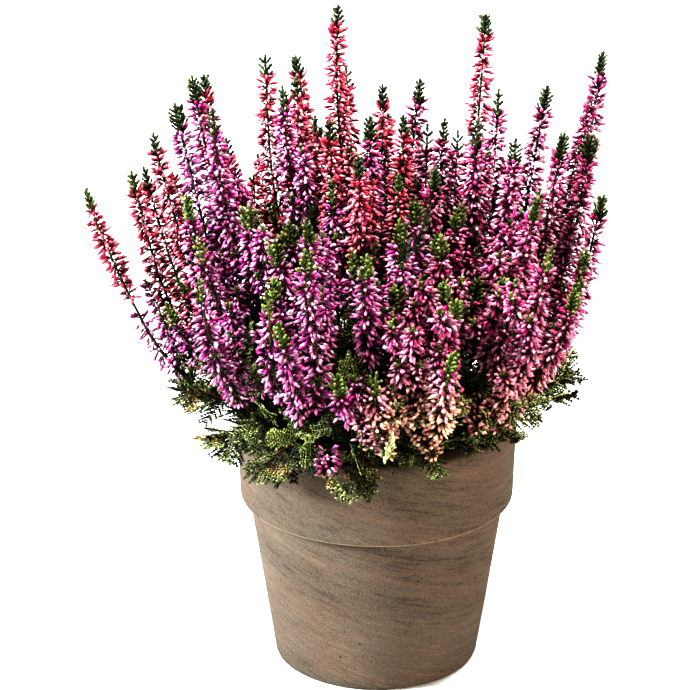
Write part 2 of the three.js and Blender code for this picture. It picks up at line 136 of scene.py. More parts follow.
def smooth(t):
    t = np.clip(t, 0.0, 1.0)
    return t * t * (3 - 2 * t)


def rise(value, start, width):
    """Goes smoothly from zero to one over a width."""
    return smooth((value - start) / width)


def mix(a, b, t):
    return a + (b - a) * t


def unit(v):
    return v / np.maximum(np.linalg.norm(v, axis=-1, keepdims=True), 1e-9)


def make_random(seed):
    """The part's own small generator, so that both give the same plant."""
    mask = 0xFFFFFFFF
    state = [seed]

    def draw():
        state[0] = (state[0] + 0x6D2B79F5) & mask
        s = state[0]
        t = ((s ^ (s >> 15)) * (1 | s)) & mask
        t = ((t + (((t ^ (t >> 7)) * (61 | t)) & mask)) & mask) ^ t
        return ((t ^ (t >> 14)) & mask) / 4294967296

    return draw


def slice_radius(z):
    up = z - VASE.flare_from
    climb = 0.5 * (up + np.hypot(up, VASE.flare_blend))
    return VASE.root + VASE.flare * (1 - np.exp(-climb / VASE.flare_height)) + VASE.lean * climb


def apart(a, b):
    return math.hypot(a.u - b.u, a.v - b.v)


def rho_of(place):
    return math.hypot(place.u, place.v)


def outward_of(place):
    return unit(np.array([place.u, place.v, 0.0]))


def level_way(angle):
    return np.array([math.cos(angle), math.sin(angle), 0.0])


def spread_out(places, spacing):
    """Each pair that stands too close moves apart, mostly in depth."""
    for _ in range(80):
        for i, a in enumerate(places):
            for b in places[i + 1:]:
                gap_u, gap_v = b.u - a.u, b.v - a.v
                distance = math.hypot(gap_u, gap_v)
                if distance < spacing:
                    push = (0.5 * (spacing - distance)) / max(distance, 0.01)
                    a.u -= 0.5 * push * gap_u
                    b.u += 0.5 * push * gap_u
                    a.v -= push * gap_v
                    b.v += push * gap_v


def kind_at(u, v):
    if u > FILL.pink_from:
        return "pink"
    return "purple" if v < FILL.purple_in_front_of or u < FILL.purple_left_of else "red"


def plant_spikes():
    spikes = [
        Named(kind=kind, u=x / slice_radius(z), v=y / slice_radius(z), top=z, hangs=False)
        for y, row in SPIKE_ROWS for kind, places in row for x, z in places
    ]
    spread_out(spikes, SPIKE.spacing)
    draw = make_random(FILL.seed)
    golden = math.pi * (3 - math.sqrt(5))
    for k in range(FILL.places):
        rho = FILL.reach * math.sqrt((k + 0.5) / FILL.places)
        place = Named(u=rho * math.cos(k * golden), v=rho * math.sin(k * golden), hangs=False)
        lift = FILL.jitter * (2 * draw() - 1)
        if all(apart(other, place) > FILL.spacing for other in spikes):
            fall = rise(rho, FILL.shoulder_from, FILL.shoulder_to - FILL.shoulder_from)
            place.kind = kind_at(place.u, place.v)
            place.top = float(mix(FILL.crown, FILL.shoulder, fall) + lift)
            spikes.append(place)
    spread_out(spikes, SPIKE.spacing)
    return spikes


def nearest(spike, others):
    return min(others, key=lambda other: apart(spike, other), default=None)


def root_of(members):
    u = sum(s.u for s in members) / len(members)
    v = sum(s.v for s in members) / len(members)
    inside = min(1, SPRAYS.root_reach / math.hypot(u, v))
    return Named(u=u * inside, v=v * inside)


def group_sprays(spikes):
    taken, sprays, singles = set(), [], []
    for spike in sorted(spikes, key=lambda s: -rho_of(s)):
        if id(spike) in taken:
            continue
        taken.add(id(spike))
        mate = nearest(spike, [s for s in spikes if id(s) not in taken and s.kind == spike.kind])
        if mate is not None and apart(spike, mate) < SPRAYS.reach:
            taken.add(id(mate))
            sprays.append([spike, mate])
        else:
            singles.append(spike)
    for spike in singles:
        pairs = [m for s in sprays if len(s) == 2 and s[0].kind == spike.kind for m in s]
        mate = nearest(spike, pairs)
        full = len(sprays) >= SPRAYS.most
        if mate is not None and (full or apart(spike, mate) < SPRAYS.reach):
            next(s for s in sprays if any(m is mate for m in s)).append(spike)
        else:
            sprays.append([spike])
    roots = [root_of(s) for s in sprays]
    spread_out(roots, SPRAYS.root_spacing)
    return [Named(root=root, spikes=s, kind=s[0].kind) for root, s in zip(roots, sprays)]


def in_slice(place, z):
    """Where a stem passes a height."""
    r = slice_radius(z)
    return np.stack([place.u * r, place.v * r, z], -1)


class Line:
    """A dense chain of points that can be read at any distances from its start."""

    def __init__(self, points):
        self.points = np.asarray(points, float)
        steps = np.linalg.norm(np.diff(self.points, axis=0), axis=1)
        self.marks = np.concatenate([[0.0], np.cumsum(steps)])
        self.length = self.marks[-1]

    def at(self, distance):
        return np.stack([np.interp(distance, self.marks, self.points[:, k]) for k in range(3)], -1)

    def along(self, distance, reach=2.0):
        ahead = self.at(np.minimum(distance + reach, self.length))
        return unit(ahead - self.at(np.maximum(distance - reach, 0)))

    def mark_at_height(self, z):
        return float(np.interp(z, self.points[:, 2], self.marks))


def stem_line(spray, index):
    """The axis of one flower spike, from its fork (or its root) to its tip."""

    def leader(z):
        share = smooth((z - SOIL_TOP) / SPRAYS.spread)[:, None]
        return mix(in_slice(spray.root, z), in_slice(spray.spikes[0], z), share)

    spike = spray.spikes[index]
    foot = STEM_FOOT if index == 0 else SPRAYS.fork_at + SPRAYS.fork_step * (index - 1)
    z = np.linspace(foot, spike.top, int(math.ceil((spike.top - foot) / STEM_STEP)) + 1)
    if index == 0:
        return Line(leader(z))
    share = smooth((z - foot) / SPRAYS.spread)[:, None]
    return Line(mix(leader(z), in_slice(spike, z), share))


def bloom_foot(spike):
    """The height where a spike's flowers start, which is lower on the outer ones."""
    outward = rise(rho_of(spike), SPIKE.inner_to, SPIKE.outer_from - SPIKE.inner_to)
    foot = mix(SPIKE.bloom_foot_inside, SPIKE.bloom_foot, float(outward))
    return min(foot, spike.top - SPIKE.least_bloom)


def shoot_line(place):
    """The axis of a low leafy shoot, which bends out over the rim."""
    bearing, reach, tip = place
    angle = math.radians(bearing)
    droop = min(1, max(0, (SHOOT.droop_below - tip) / SHOOT.droop_over))
    bend_height = mix(max(tip + SHOOT.above_tip, SHOOT.least_bend), SHOOT.droop_height, droop)
    corners = np.array([
        (SHOOT.root, SHOOT.straight_to),
        (SHOOT.root, SHOOT.clears_rim_at),
        (reach - mix(SHOOT.lie_from, SHOOT.droop_bend, droop), bend_height),
        (reach, tip),
    ])
    t = np.linspace(0, 1, SHOOT.points)[:, None]
    curve = ((1 - t) ** 3 * corners[0] + 3 * (1 - t) ** 2 * t * corners[1]
             + 3 * (1 - t) * t ** 2 * corners[2] + t ** 3 * corners[3])
    curve = np.vstack([[SHOOT.root, STEM_FOOT], curve])
    return Line(np.stack([curve[:, 0] * math.cos(angle), curve[:, 0] * math.sin(angle), curve[:, 1]], 1))


# ---- colours, as sRGB bytes


def colour(r, g, b):
    """An sRGB colour in bytes as the linear colour that Blender works in."""
    c = np.array([r, g, b]) / 255.0
    return np.where(c <= 0.04045, c / 12.92, ((c + 0.055) / 1.055) ** 2.4)


# root is the dark colour of a bud's stalk, which the buds' first rings are also mixed towards as painted
# shade
PETALS = {
    "red": Named(body=colour(154, 2, 44), pale=colour(254, 200, 214), deep=colour(74, 0, 20),
                 old=colour(206, 88, 108), root=colour(48, 0, 14), leaf=colour(24, 6, 6)),
    "purple": Named(body=colour(150, 4, 104), pale=colour(250, 232, 248), deep=colour(70, 0, 46),
                    old=colour(212, 126, 164), root=colour(48, 0, 28), leaf=colour(20, 8, 12)),
    "pink": Named(body=colour(156, 8, 92), pale=colour(252, 232, 240), deep=colour(80, 0, 42),
                  old=colour(222, 146, 162), root=colour(50, 0, 26), leaf=colour(22, 8, 10)),
}
CREAM = colour(240, 204, 164)
# edge is a pale keel colour, used partly as a painted highlight on keels and on the tops of the club shoots
LEAF = Named(
    dark=colour(28, 44, 14), mid=colour(58, 78, 25), light=colour(138, 154, 82),
    edge=colour(224, 218, 168), dry=colour(140, 86, 44),
)
WOOD = Named(old=colour(48, 32, 22), young=colour(72, 48, 30))

# ---- meshes made in bulk


def configured(data, **settings):
    for key, value in settings.items():
        setattr(data, key, value)
    return data


def place_object(name, data):
    made = bpy.data.objects.new(name, data)
    bpy.context.scene.collection.objects.link(made)
    return made


class Bulk:
    """Vertices, triangles and colours, gathered part by part and made into one Blender mesh."""

    def __init__(self):
        self.points, self.faces, self.tints, self.slots, self.rounds = [], [], [], [], []
        self.count = 0

    def add(self, points, faces, tints, slot=0, rounded=True):
        self.points.append(points)
        self.faces.append(faces + self.count)
        self.tints.append(np.broadcast_to(tints, points.shape))
        self.slots.append(np.full(len(faces), slot, np.int32))
        self.rounds.append(np.full(len(faces), rounded, bool))
        self.count += len(points)

    def make(self, name, materials):
        points = inside_the_box(np.vstack(self.points)) * MM + AXIS
        faces = np.vstack(self.faces).astype(np.int32)
        mesh = bpy.data.meshes.new(name)
        mesh.vertices.add(len(points))
        mesh.vertices.foreach_set("co", points.astype(np.float32).ravel())
        mesh.loops.add(faces.size)
        mesh.loops.foreach_set("vertex_index", faces.ravel())
        mesh.polygons.add(len(faces))
        for name_of, values in (
                ("loop_start", np.arange(0, faces.size, 3, dtype=np.int32)),
                ("loop_total", np.full(len(faces), 3, np.int32)),
                ("material_index", np.concatenate(self.slots)),
                ("use_smooth", np.concatenate(self.rounds))):
            mesh.polygons.foreach_set(name_of, values)
        tints = np.pad(np.vstack(self.tints), ((0, 0), (0, 1)), constant_values=1.0).astype(np.float32)
        layer = mesh.color_attributes.new("tint", "FLOAT_COLOR", "POINT")
        layer.data.foreach_set("color", tints.ravel())
        mesh.update(calc_edges=True)
        for material in materials:
            mesh.materials.append(material)
        return place_object(name, mesh)


def across_of(along):
    """A direction across each given direction, level where it can be."""
    helper = np.where(np.abs(along[..., 2:3]) > 0.95, np.array([1.0, 0.0, 0.0]), UP)
    return unit(np.cross(helper, along))


def around(along, turn):
    """The direction across each given direction, turned round it by an angle."""
    across = across_of(along)
    turn = np.asarray(turn)[..., None]
    return across * np.cos(turn) + np.cross(along, across) * np.sin(turn)


def ring_of(start, sides):
    """The vertices of a ring, and for each of them the one after it."""
    k = np.arange(sides)
    return start + k, start + (k + 1) % sides


def band(a, b, sides):
    """The two sets of triangles between two rings of vertices."""
    a0, a1 = ring_of(a, sides)
    b0, b1 = ring_of(b, sides)
    return np.stack([a0, a1, b1], 1), np.stack([a0, b1, b0], 1)


def cap(ring, point, sides, at_start=False):
    """The triangles between a ring of vertices and the point that closes it."""
    k, k1 = ring_of(ring, sides)
    return np.stack([*((k1, k) if at_start else (k, k1)), np.full(sides, point)], 1)


def tube(bulk, points, radii, tints, sides=3):
    """A closed tube along a chain of points."""
    points = np.asarray(points, float)
    n = len(points)
    along = unit(np.gradient(points, axis=0))
    first = unit(np.cross(along[0], [0.3, 0.9, 0.31]))
    frames = []
    for t in along:
        first = unit(first - t * np.dot(first, t))
        frames.append((first, np.cross(t, first)))
    first, second = (np.array(axis)[:, None, :] for axis in zip(*frames))
    angle = np.linspace(0, 2 * math.pi, sides, endpoint=False)[None, :, None]
    rings = points[:, None, :] + radii[:, None, None] * (first * np.cos(angle) + second * np.sin(angle))
    faces = [f for i in range(n - 1) for f in band(i * sides, (i + 1) * sides, sides)]
    faces += [cap(0, n * sides, sides, True), cap((n - 1) * sides, n * sides + 1, sides)]
    tints = np.broadcast_to(tints, (n, 3))
    shades = np.vstack([np.repeat(tints, sides, axis=0), tints[:1], tints[-1:]])
    bulk.add(np.vstack([rings.reshape(-1, 3), points[:1], points[-1:]]), np.vstack(faces), shades, BARK_SLOT)


def repeat_solid(bulk, verts, shades, faces, rounded=True):
    """Many small solids with the same faces. verts and shades have a row of vertices for each solid."""
    n, size = verts.shape[:2]
    every = (faces[None] + (np.arange(n) * size)[:, None, None]).reshape(-1, 3)
    bulk.add(verts.reshape(-1, 3), every, shades.reshape(-1, 3), rounded=rounded)


BARK_SLOT = 1  # of a leafy piece's two materials
BUD_SIDES = 4
BUD_RINGS = ((0.5, 0.66), (0.76, 1.1))  # share of its length, share of its radius
FRESH_RINGS = ((0.34, 0.82), (0.68, 1.0))  # the same for the young buds high on a spike
UNDERSIDE_SHADE = 0.97  # how far the colour goes to black on a bud's lower side: painted shade
GLEAM = (0.22, 1.0)  # how far each ring's colour goes to pale on top: a painted highlight


def buds(bulk, base, along, length, radius, arch, roll, tints, pale, rings, gleam):
    """Buds on their short stalks. tints has a colour for the stalk, each ring and the tip of every bud."""
    level = unit(np.cross(along, UP + 0.001))
    steep = np.cross(along, level)
    angle = roll[:, None] + np.linspace(0, 2 * math.pi, BUD_SIDES, endpoint=False)[None, :]
    ring = level[:, None, :] * np.cos(angle)[..., None] + steep[:, None, :] * np.sin(angle)[..., None]
    # painted shade and highlight: each ring's colour goes towards black on its lower side and towards the
    # pale tone on top
    up = ring[..., 2:3]
    underside_shade = 1 - UNDERSIDE_SHADE * np.clip(-up, 0, 1)
    above = np.clip(up, 0, 1) ** 4

    def centre(t):
        return (base + along * (length * t)[:, None] + UP * (arch * 4 * t * (1 - t))[:, None])[:, None, :]

    layers = [centre(0.0)]
    shades = [tints[:, 0][:, None, :]]
    for i, (t, share) in enumerate(rings):
        layers.append(centre(t) + ring * (radius * share)[:, None, None])
        shades.append(mix(tints[:, i + 1][:, None, :], pale[:, None, :], above * gleam[i]) * underside_shade)
    layers.append(centre(1.0))
    shades.append(tints[:, -1][:, None, :])
    last = 1 + (len(rings) - 1) * BUD_SIDES
    faces = [cap(1, 0, BUD_SIDES, True)]
    faces += [f for k in range(1, last, BUD_SIDES) for f in band(k, k + BUD_SIDES, BUD_SIDES)]
    faces.append(cap(last, last + BUD_SIDES, BUD_SIDES))
    repeat_solid(bulk, np.concatenate(layers, axis=1), np.concatenate(shades, axis=1), np.vstack(faces))


LEAF_FACES = np.array([[0, 2, 3], [2, 1, 3], [0, 1, 2], [1, 0, 3]])
KEEL = Named(along=0.42, height=0.42)  # share of a leaf's length, share of its width


def leaves(bulk, base, along, out, length, width, lean, tints):
    """Keeled scale leaves: each is a slim closed wedge. tints has a colour for its sides, keel and tip."""
    side = np.cross(along, out)
    way = along * np.cos(lean)[:, None] + out * np.sin(lean)[:, None]
    half = side * (width / 2)[:, None]
    keel = base + way * (length * KEEL.along)[:, None] + out * (width * KEEL.height)[:, None]
    verts = np.stack([base + half, base - half, keel, base + way * length[:, None]], 1)
    repeat_solid(bulk, verts, tints[:, [0, 0, 1, 2]], LEAF_FACES, rounded=False)


SPINDLE_FACES = np.array([[0, 2, 1], [0, 3, 2], [0, 1, 3], [4, 1, 2], [4, 2, 3], [4, 3, 1]])


def spindles(bulk, start, end, radius, tints):
    """Thin three-sided cores, pointed at both ends."""
    along = unit(end - start)
    middle = start + (end - start) * 0.4
    corners = [middle + around(along, np.full(len(start), a)) * radius[:, None] for a in (0, 2.0944, 4.18879)]
    shades = np.repeat(tints[:, None, :], 5, axis=1)
    repeat_solid(bulk, np.stack([start, *corners, end], 1), shades, SPINDLE_FACES)


def stations(line, start, end, spacing, least=2, first=0.3, reach=0.8):
    """Places about as far apart as the spacing: their shares of the way, points and directions."""
    n = max(least, int(round((end - start) / spacing)))
    share = (np.arange(n) + first) / n
    mark = mix(start, end, share)
    return share, line.at(mark), line.along(mark, reach)


def bent(start, middle, end, steps=12):
    t = np.linspace(0, 1, steps)[:, None]
    return Line((1 - t) ** 2 * start + 2 * (1 - t) * t * np.array(middle) + t ** 2 * np.array(end))


# ---- the leaves and twigs of a spray

TWIG_LEAVES = (0, 1.7, 2.2, 1.25)  # where they start, their spacing, length and width
SIDE_LEAVES = (0.6, 1.55, 2.1, 1.15)
CLUB = Named(  # the short shoots of a green tip, which are made as buds
    radius=0.92, slim=0.24, rings=((0.14, 0.4), (0.44, 1.0), (0.54, 0.6), (0.82, 0.92)),
    gleam=(0.0, 1.0, 0.2, 1.0), shades=(0.1, 0.2, 0.8, 0.15, 0.8),
)


class Growth:
    """The buds, leaves and twigs of one spray, gathered for its two meshes."""

    def __init__(self, seed):
        self.draw = np.random.RandomState(seed)
        self.blooms, self.wood = Bulk(), Bulk()
        self.rows, self.heads, self.cores, self.twigs = [], [], [], []

    def leaf_rows(self, base, along, out, length, width, lean, tone, side=0.8):
        """One leaf at each place. side is the share of the tone that the leaf's sides keep; their darkness is
        partly the leaf's own and partly painted shade, and the keel goes towards the pale edge colour, partly
        its own pale ridge and partly a painted highlight.
        """
        n = len(base)
        tone = np.broadcast_to(tone, (n, 3))
        lively = np.clip(tone[:, 1:2] / LEAF.mid[1], 0.15, 1.0)
        keel = mix(tone, LEAF.edge, self.draw.uniform(0.0, 0.9, (n, 1)) ** 1.4 * lively)
        tip = mix(tone, LEAF.light, self.draw.uniform(0.0, 0.4, (n, 1)) * lively)
        sizes = (np.broadcast_to(x, (n,)) for x in (length, width, lean))
        self.rows.append((base, along, out, *sizes, np.stack([tone * side, keel, tip], 1)))

    def stem_leaves(self, line, start, end, spacing, size, width, tone, lean, close):
        """Crossed pairs of leaves along a line, between two distances, which close up towards the end."""
        share, base, along = stations(line, start, end, spacing)
        out = around(along, self.draw.uniform(0, math.pi) + np.arange(len(share)) * math.pi / 2)
        size, lean = size * mix(1, 0.8, share), lean * mix(1, close, share)
        for sign in (1, -1):
            self.leaf_rows(base, along, sign * out, size, width, lean, tone)

    def zipper(self, line, start, spacing, size, width, tone, plane):
        """Leaves in pairs along a line, all in one plane, with their keels up from it."""
        share, base, along = stations(line, start, line.length, spacing)
        side = across_the(along, plane)
        face = np.cross(side, along)
        outside = np.sum(face * (base * [1, 1, 0] + UP * 30), 1)[:, None]
        face = np.where(outside < 0, -face, face)
        lean = 1.05 * mix(1, 0.7, share)[:, None]
        # the leaves' sides keep little of the tone: painted shade between the close pairs
        for sign in (1, -1):
            way = along * np.cos(lean) + sign * side * np.sin(lean)
            self.leaf_rows(base, way, face, size * mix(1, 0.75, share), width, 0.0, tone, 0.12)
        self.leaf_rows(base[-1:], along[-1:], face[-1:], size, width, 0.0, tone, 0.2)

    def sprig(self, line, tone, reach, plane, step=4.0):
        """A twig set with close pairs of leaves, with straight branchlets beside it in one plane."""
        self.zipper(line, *TWIG_LEAVES, tone, plane)
        share, base, along = stations(line, 0, line.length, step, 3, 0.4, 2.0)
        n = len(share)
        side = across_the(along, plane)
        length = reach * np.sqrt(1 - share ** 2) * self.draw.uniform(0.7, 1.15, n)
        for i in range(n):
            for sign in (1, -1):
                way = unit(along[i] + sign * side[i] * 0.75 + self.draw.normal(0, 0.09, 3))
                end = base[i] + way * length[i]
                shade = self.shades(tone, 1)[0]
                self.zipper(Line(np.linspace(base[i], end, 3)), *SIDE_LEAVES, shade, side[i])
                # the branchlet's core is near-black, partly its own dark bark and partly painted shade
                # between its leaves
                self.cores.append((base[i], end, 0.6, shade * 0.16))

    def shades(self, tone, n, dry=0.02):
        """Shades of a tone, light and dark, with a few dry ones."""
        lit = mix(tone, LEAF.light, self.draw.uniform(0, 0.3, (n, 1)) * min(1.0, float(np.max(tone)) * 8))
        shade = lit * self.draw.uniform(0.2, 1.5, (n, 1))
        return np.where(self.draw.random((n, 1)) < dry, LEAF.dry, shade)

    def pour(self, level=None):
        """Makes all that was gathered into the mesh of stems and leaves, and lifts it above a level."""
        for points, thick, thin, tint in self.twigs:
            tube(self.wood, points[::2], np.linspace(thick, thin, len(points[::2])), tint)
        leaves(self.wood, *(np.concatenate(x) for x in zip(*self.rows)))
        if self.heads:
            start, along, length, tone = (np.concatenate(x) for x in zip(*self.heads))
            n = len(start)
            # a club is painted dark at its foot and third ring, as shade at its base and between its scales,
            # and its top goes to a pale keel colour as a painted highlight
            tints = np.stack([tone * k for k in CLUB.shades] + [mix(tone, LEAF.light, 0.3)], 1)
            radius = np.minimum(CLUB.radius, CLUB.slim * length) * self.draw.uniform(0.85, 1.15, n)
            form = (length, radius, np.zeros(n), self.draw.uniform(0, math.pi, n))
            buds(self.wood, start, along, *form, tints, mix(tone, LEAF.edge, 0.36), CLUB.rings, CLUB.gleam)
        start, end, radius, tone = (np.array(x) for x in zip(*self.cores))
        spindles(self.wood, start, end, radius, tone * 0.8)
        if level is not None:
            self.wood.points = [above(p, level) for p in self.wood.points]
        self.wood.points = [over_the_rim(p) for p in self.wood.points]


def across_the(along, plane):
    """The part of a direction that stands across each of the given ones."""
    return unit(plane - along * np.sum(plane * along, 1)[:, None])


# ---- where things may not go

EDGE = 2.5  # from the sides of the part's box, where twigs start to curl in
RIM = Named(inside=57.0, outside=71.5, top=131.2, wall_from=119, sunk=12, kept=0.12)
BESIDE_RIM = Named(start=54, over=10, kept=0.15)


def inside_the_box(points):
    """Curls the outermost leaves in, so that they stay inside the part's box."""
    low, high = (np.array(corner) / MM - AXIS / MM for corner in cad_box)
    kept = points.copy()
    for side in range(3):
        for sign, limit in ((1, high), (-1, low)):
            past = np.maximum(sign * (kept[:, side] - limit[side]) + EDGE, 0)
            if side < 2 or sign > 0:
                kept[:, side] -= sign * (past - EDGE * np.tanh(past / EDGE))
    return kept


def over_the_rim(points):
    """Lifts what would pass through the pot's wall, so that it lies on the rim."""
    r = np.hypot(points[:, 0], points[:, 1])
    z = points[:, 2]
    within = (r > RIM.inside) & (r < RIM.outside) & (z < RIM.top) & (z > RIM.wall_from)
    lifted = points.copy()
    lifted[within, 2] = RIM.top + RIM.kept * (z[within] - RIM.top + RIM.sunk)
    return lifted


def above(points, level):
    """Lifts what hangs over the rim or outside it, below a level."""
    share = rise(np.hypot(points[:, 0], points[:, 1]), BESIDE_RIM.start, BESIDE_RIM.over)
    lifted = points.copy()
    lifted[:, 2] -= share * (1 - BESIDE_RIM.kept) * np.minimum(points[:, 2] - level, 0)
    return lifted


# ---- flower spikes

CREAM_AT = Named(right=(-16, 24), front=(25, 30), above=(152, 45), beside=(28, 14))  # from, over


def petal_tints(kind, share, young, place, draw):
    """Four colours along each bud, and the pale tone its top is painted with as a highlight. Old buds are
    paler, and low in front they are cream; the ring nearest the stalk goes towards the dark stalk colour as
    painted shade between the buds.
    """
    petals = PETALS[kind]
    n = len(share)
    x, y, z = place.T
    age = ((1 - smooth(share / 0.5)) * draw.uniform(0.1, 1.0, n))[:, None]
    body = mix(petals.body, petals.old, 0.55 * age)
    low_in_front = rise(x, *CREAM_AT.right) * rise(-y, *CREAM_AT.front) * (1 - rise(z, *CREAM_AT.above))
    beside = 1 - 0.55 * rise(x, *CREAM_AT.beside)
    cream = np.clip(low_in_front * beside * draw.uniform(0.2, 1.8, n), 0, 0.92)[:, None]
    body = mix(body, CREAM, cream)
    body = mix(body, petals.deep, draw.uniform(0, 0.75, (n, 1)) * (1 - 0.7 * cream))
    pale = mix(petals.pale, CREAM, cream * 0.8)
    lit = draw.uniform(0, 1, (n, 1)) ** 2.6 * mix(0.8, 1.0, age)
    near = 0.75 * age * (draw.random((n, 1)) < 0.6)
    # painted shade: the ring nearest the stalk is mixed towards the dark stalk colour, less on old and young
    # buds
    inner_shade = draw.uniform(0.65, 1.0, (n, 1)) * (1 - 0.8 * near * (1 - cream)) * mix(1, 0.5, young)[:, None]
    plain = np.maximum(0.7 * cream, near) * (draw.random((n, 1)) < 0.7)
    tints = np.stack([
        np.broadcast_to(petals.root, (n, 3)),
        mix(mix(body, pale, near), petals.root, inner_shade),
        mix(body, pale, 0.2 * lit),
        mix(mix(body, pale, 0.55 * lit), petals.body, plain),
    ], 1)
    # the pale tone that a bud's top is painted with as a highlight: a little on most buds, much on a few
    top_highlight = 0.08 + 0.92 * draw.uniform(0, 1, (n, 1)) ** KINDS[kind].few_pale
    return tints, mix(body, pale, top_highlight)


WHORL_TURN = 2.0  # radians from one whorl to the next
BUD_FOOT = 0.4  # from the stem's axis
BLOOM_LEAF = Named(before=4, step=2.2, width=1.7, lean=1.0, close=0.8)


def flower(growth, line, kind, start, tip, size=1.0, density=1.0, inside=0.0, fresh=None):
    """The whorls of buds of one spike, with small leaves between them."""
    draw, habit = growth.draw, KINDS[kind]
    end = line.length - tip
    whorls = max(3, int(round((end - start) / habit.whorl_step)))
    per = habit.per_whorl
    share = np.repeat((np.arange(whorls) + 0.5) / whorls, per)
    turn = np.tile(np.arange(per), whorls) * 2 * math.pi / per
    turn = turn + np.repeat(np.arange(whorls), per) * WHORL_TURN
    kept = draw.random(len(share)) < density
    share, turn = share[kept], turn[kept]
    n = len(share)
    mark = mix(start, end, share) + draw.uniform(-1, 1, n) * habit.whorl_jitter
    centre, along = line.at(mark), line.along(mark)
    out = around(along, turn + draw.normal(0, 0.35, n))
    lift = mix(-0.12, 0.8, rise(share, 0.86, 0.14)) + draw.normal(0, 0.4, n)
    full = mix(0.8, 1.0, smooth(share / 0.15)) * mix(1.0, 0.8, rise(share, 0.6, 0.4))
    reach = habit.bud_reach * size * full * draw.uniform(0.66, 1.12, n)
    length = reach * np.sqrt(1 + 0.25 * lift ** 2)
    young = rise(share, 0.55, 0.35) * habit.young if fresh is None else np.full(n, fresh)
    radius = habit.bud_radius * mix(0.7, 1.0, full) * draw.uniform(0.85, 1.15, n) * mix(1.0, 1.14, young)
    arch = draw.uniform(-0.1, 0.7, n) * (1 - rise(share, 0.8, 0.2))
    tints, pale = petal_tints(kind, share, young, centre, draw)
    # painted light: spikes in the middle of the plant get lighter colours, which make up for the shade they
    # stand in
    painted_lift = 1 + 0.3 * inside
    tints, pale = np.minimum(tints * painted_lift, 0.9), np.minimum(pale * painted_lift, 0.95)
    rings = [[mix(a, b, young) for a, b in zip(old, new)] for old, new in zip(BUD_RINGS, FRESH_RINGS)]
    roll = draw.uniform(0, math.pi, n)
    way = unit(out + along * lift[:, None])
    buds(growth.blooms, centre + out * BUD_FOOT, way, length, radius, arch, roll, tints, pale, rings, GLEAM)
    # the small leaves along the axis take the kind's near-black leaf colour, partly their own dark colour and
    # partly painted shade between the buds
    growth.stem_leaves(line, start - BLOOM_LEAF.before, end, BLOOM_LEAF.step / size, habit.core * size,
                       BLOOM_LEAF.width, PETALS[kind].leaf, BLOOM_LEAF.lean, BLOOM_LEAF.close)


SIDE_BRANCH = Named(reach=(8.5, 13.0), outer_from=0.72, points=24)


def side_branch(line, start, spike, share, draw):
    """A shorter branch beside the spike, which never leans out past the plant's outline."""
    end = line.length - KINDS[spike.kind].tip
    fork = mix(start, end, draw.uniform(share[0], share[1]))
    stop = mix(start, line.length, draw.uniform(share[2], share[3]))
    out = around(line.along(fork), draw.uniform(0, 2 * math.pi))
    if rho_of(spike) > SIDE_BRANCH.outer_from and np.dot(out, outward_of(spike)) > 0:
        out = -out
    reach = draw.uniform(*SIDE_BRANCH.reach)
    middle = line.at(mix(fork, stop, 0.35)) + out * reach * 1.05
    return bent(line.at(fork), middle, line.at(stop) + out * reach, SIDE_BRANCH.points)


def leaf_tone(spike, draw):
    """Tips are light green in front and dark green high up and behind."""
    y = spike.v * float(slice_radius(spike.top))
    front = float(rise(-y, -50, 110)) * float(1 - rise(spike.top, 240, 32))
    return mix(LEAF.dark, mix(LEAF.mid, LEAF.light, 0.25), front) * draw.uniform(0.75, 1.15)


TIP = Named(low=6.4, high=4.4, top=5.8, top_foot=6.0, core_to=3.0)


def green_tip(growth, line, length, scale, tone, pairs=2):
    """The leafy end of a spike: a feather of short club-shaped shoots that point up."""
    draw = growth.draw
    marks = line.length - length + length * np.linspace(0.02, 0.68, pairs)
    base, along = line.at(marks), line.along(marks)
    crossed = np.arange(pairs) % 2
    turn = draw.uniform(0, math.pi) + crossed * math.pi / 2 + draw.normal(0, 0.12, pairs)
    size = scale * np.linspace(TIP.low, TIP.high, pairs) * np.where(crossed == 1, 0.75, 1.0)
    for sign in (1, -1):
        way = unit(sign * around(along, turn) * 0.9 + along + draw.normal(0, 0.08, (pairs, 3)))
        growth.heads.append((base, way, size * draw.uniform(0.8, 1.15, pairs), growth.shades(tone, pairs, 0)))
    top = line.at(np.array([line.length - TIP.top_foot * scale]))
    up = line.along(np.array([line.length - 4.0]))
    growth.heads.append((top, up, np.array([TIP.top * scale]), growth.shades(tone, 1, 0)))
    growth.cores.append((base[0], line.at(line.length - TIP.core_to), 0.6, tone * 0.4))


LOW_TWIG = Named(
    count=(1.4, 4.4), outer=(0.5, 0.4), turn=2.4, reach=(18, 30), middle=(0.5, 0.3), tip=(0.65, 0.75),
    sag=(0, 4), branchlets=(9, 13),
)
OPEN_SIDE = Named(u=0.55, v=(-0.7, 0.25), more=2)  # where the plant would look too open


def side_twig(base, out, along, reach, form, sag=0.0):
    """A twig that leaves a stem sideways and bends along it, and the way from its foot to its tip."""
    middle, tip = (base + out * reach * x + along * reach * y for x, y in (form.middle, form.tip))
    tip = tip - UP * sag
    return Line(over_the_rim(bent(base, middle, tip).points)), unit(tip - base)


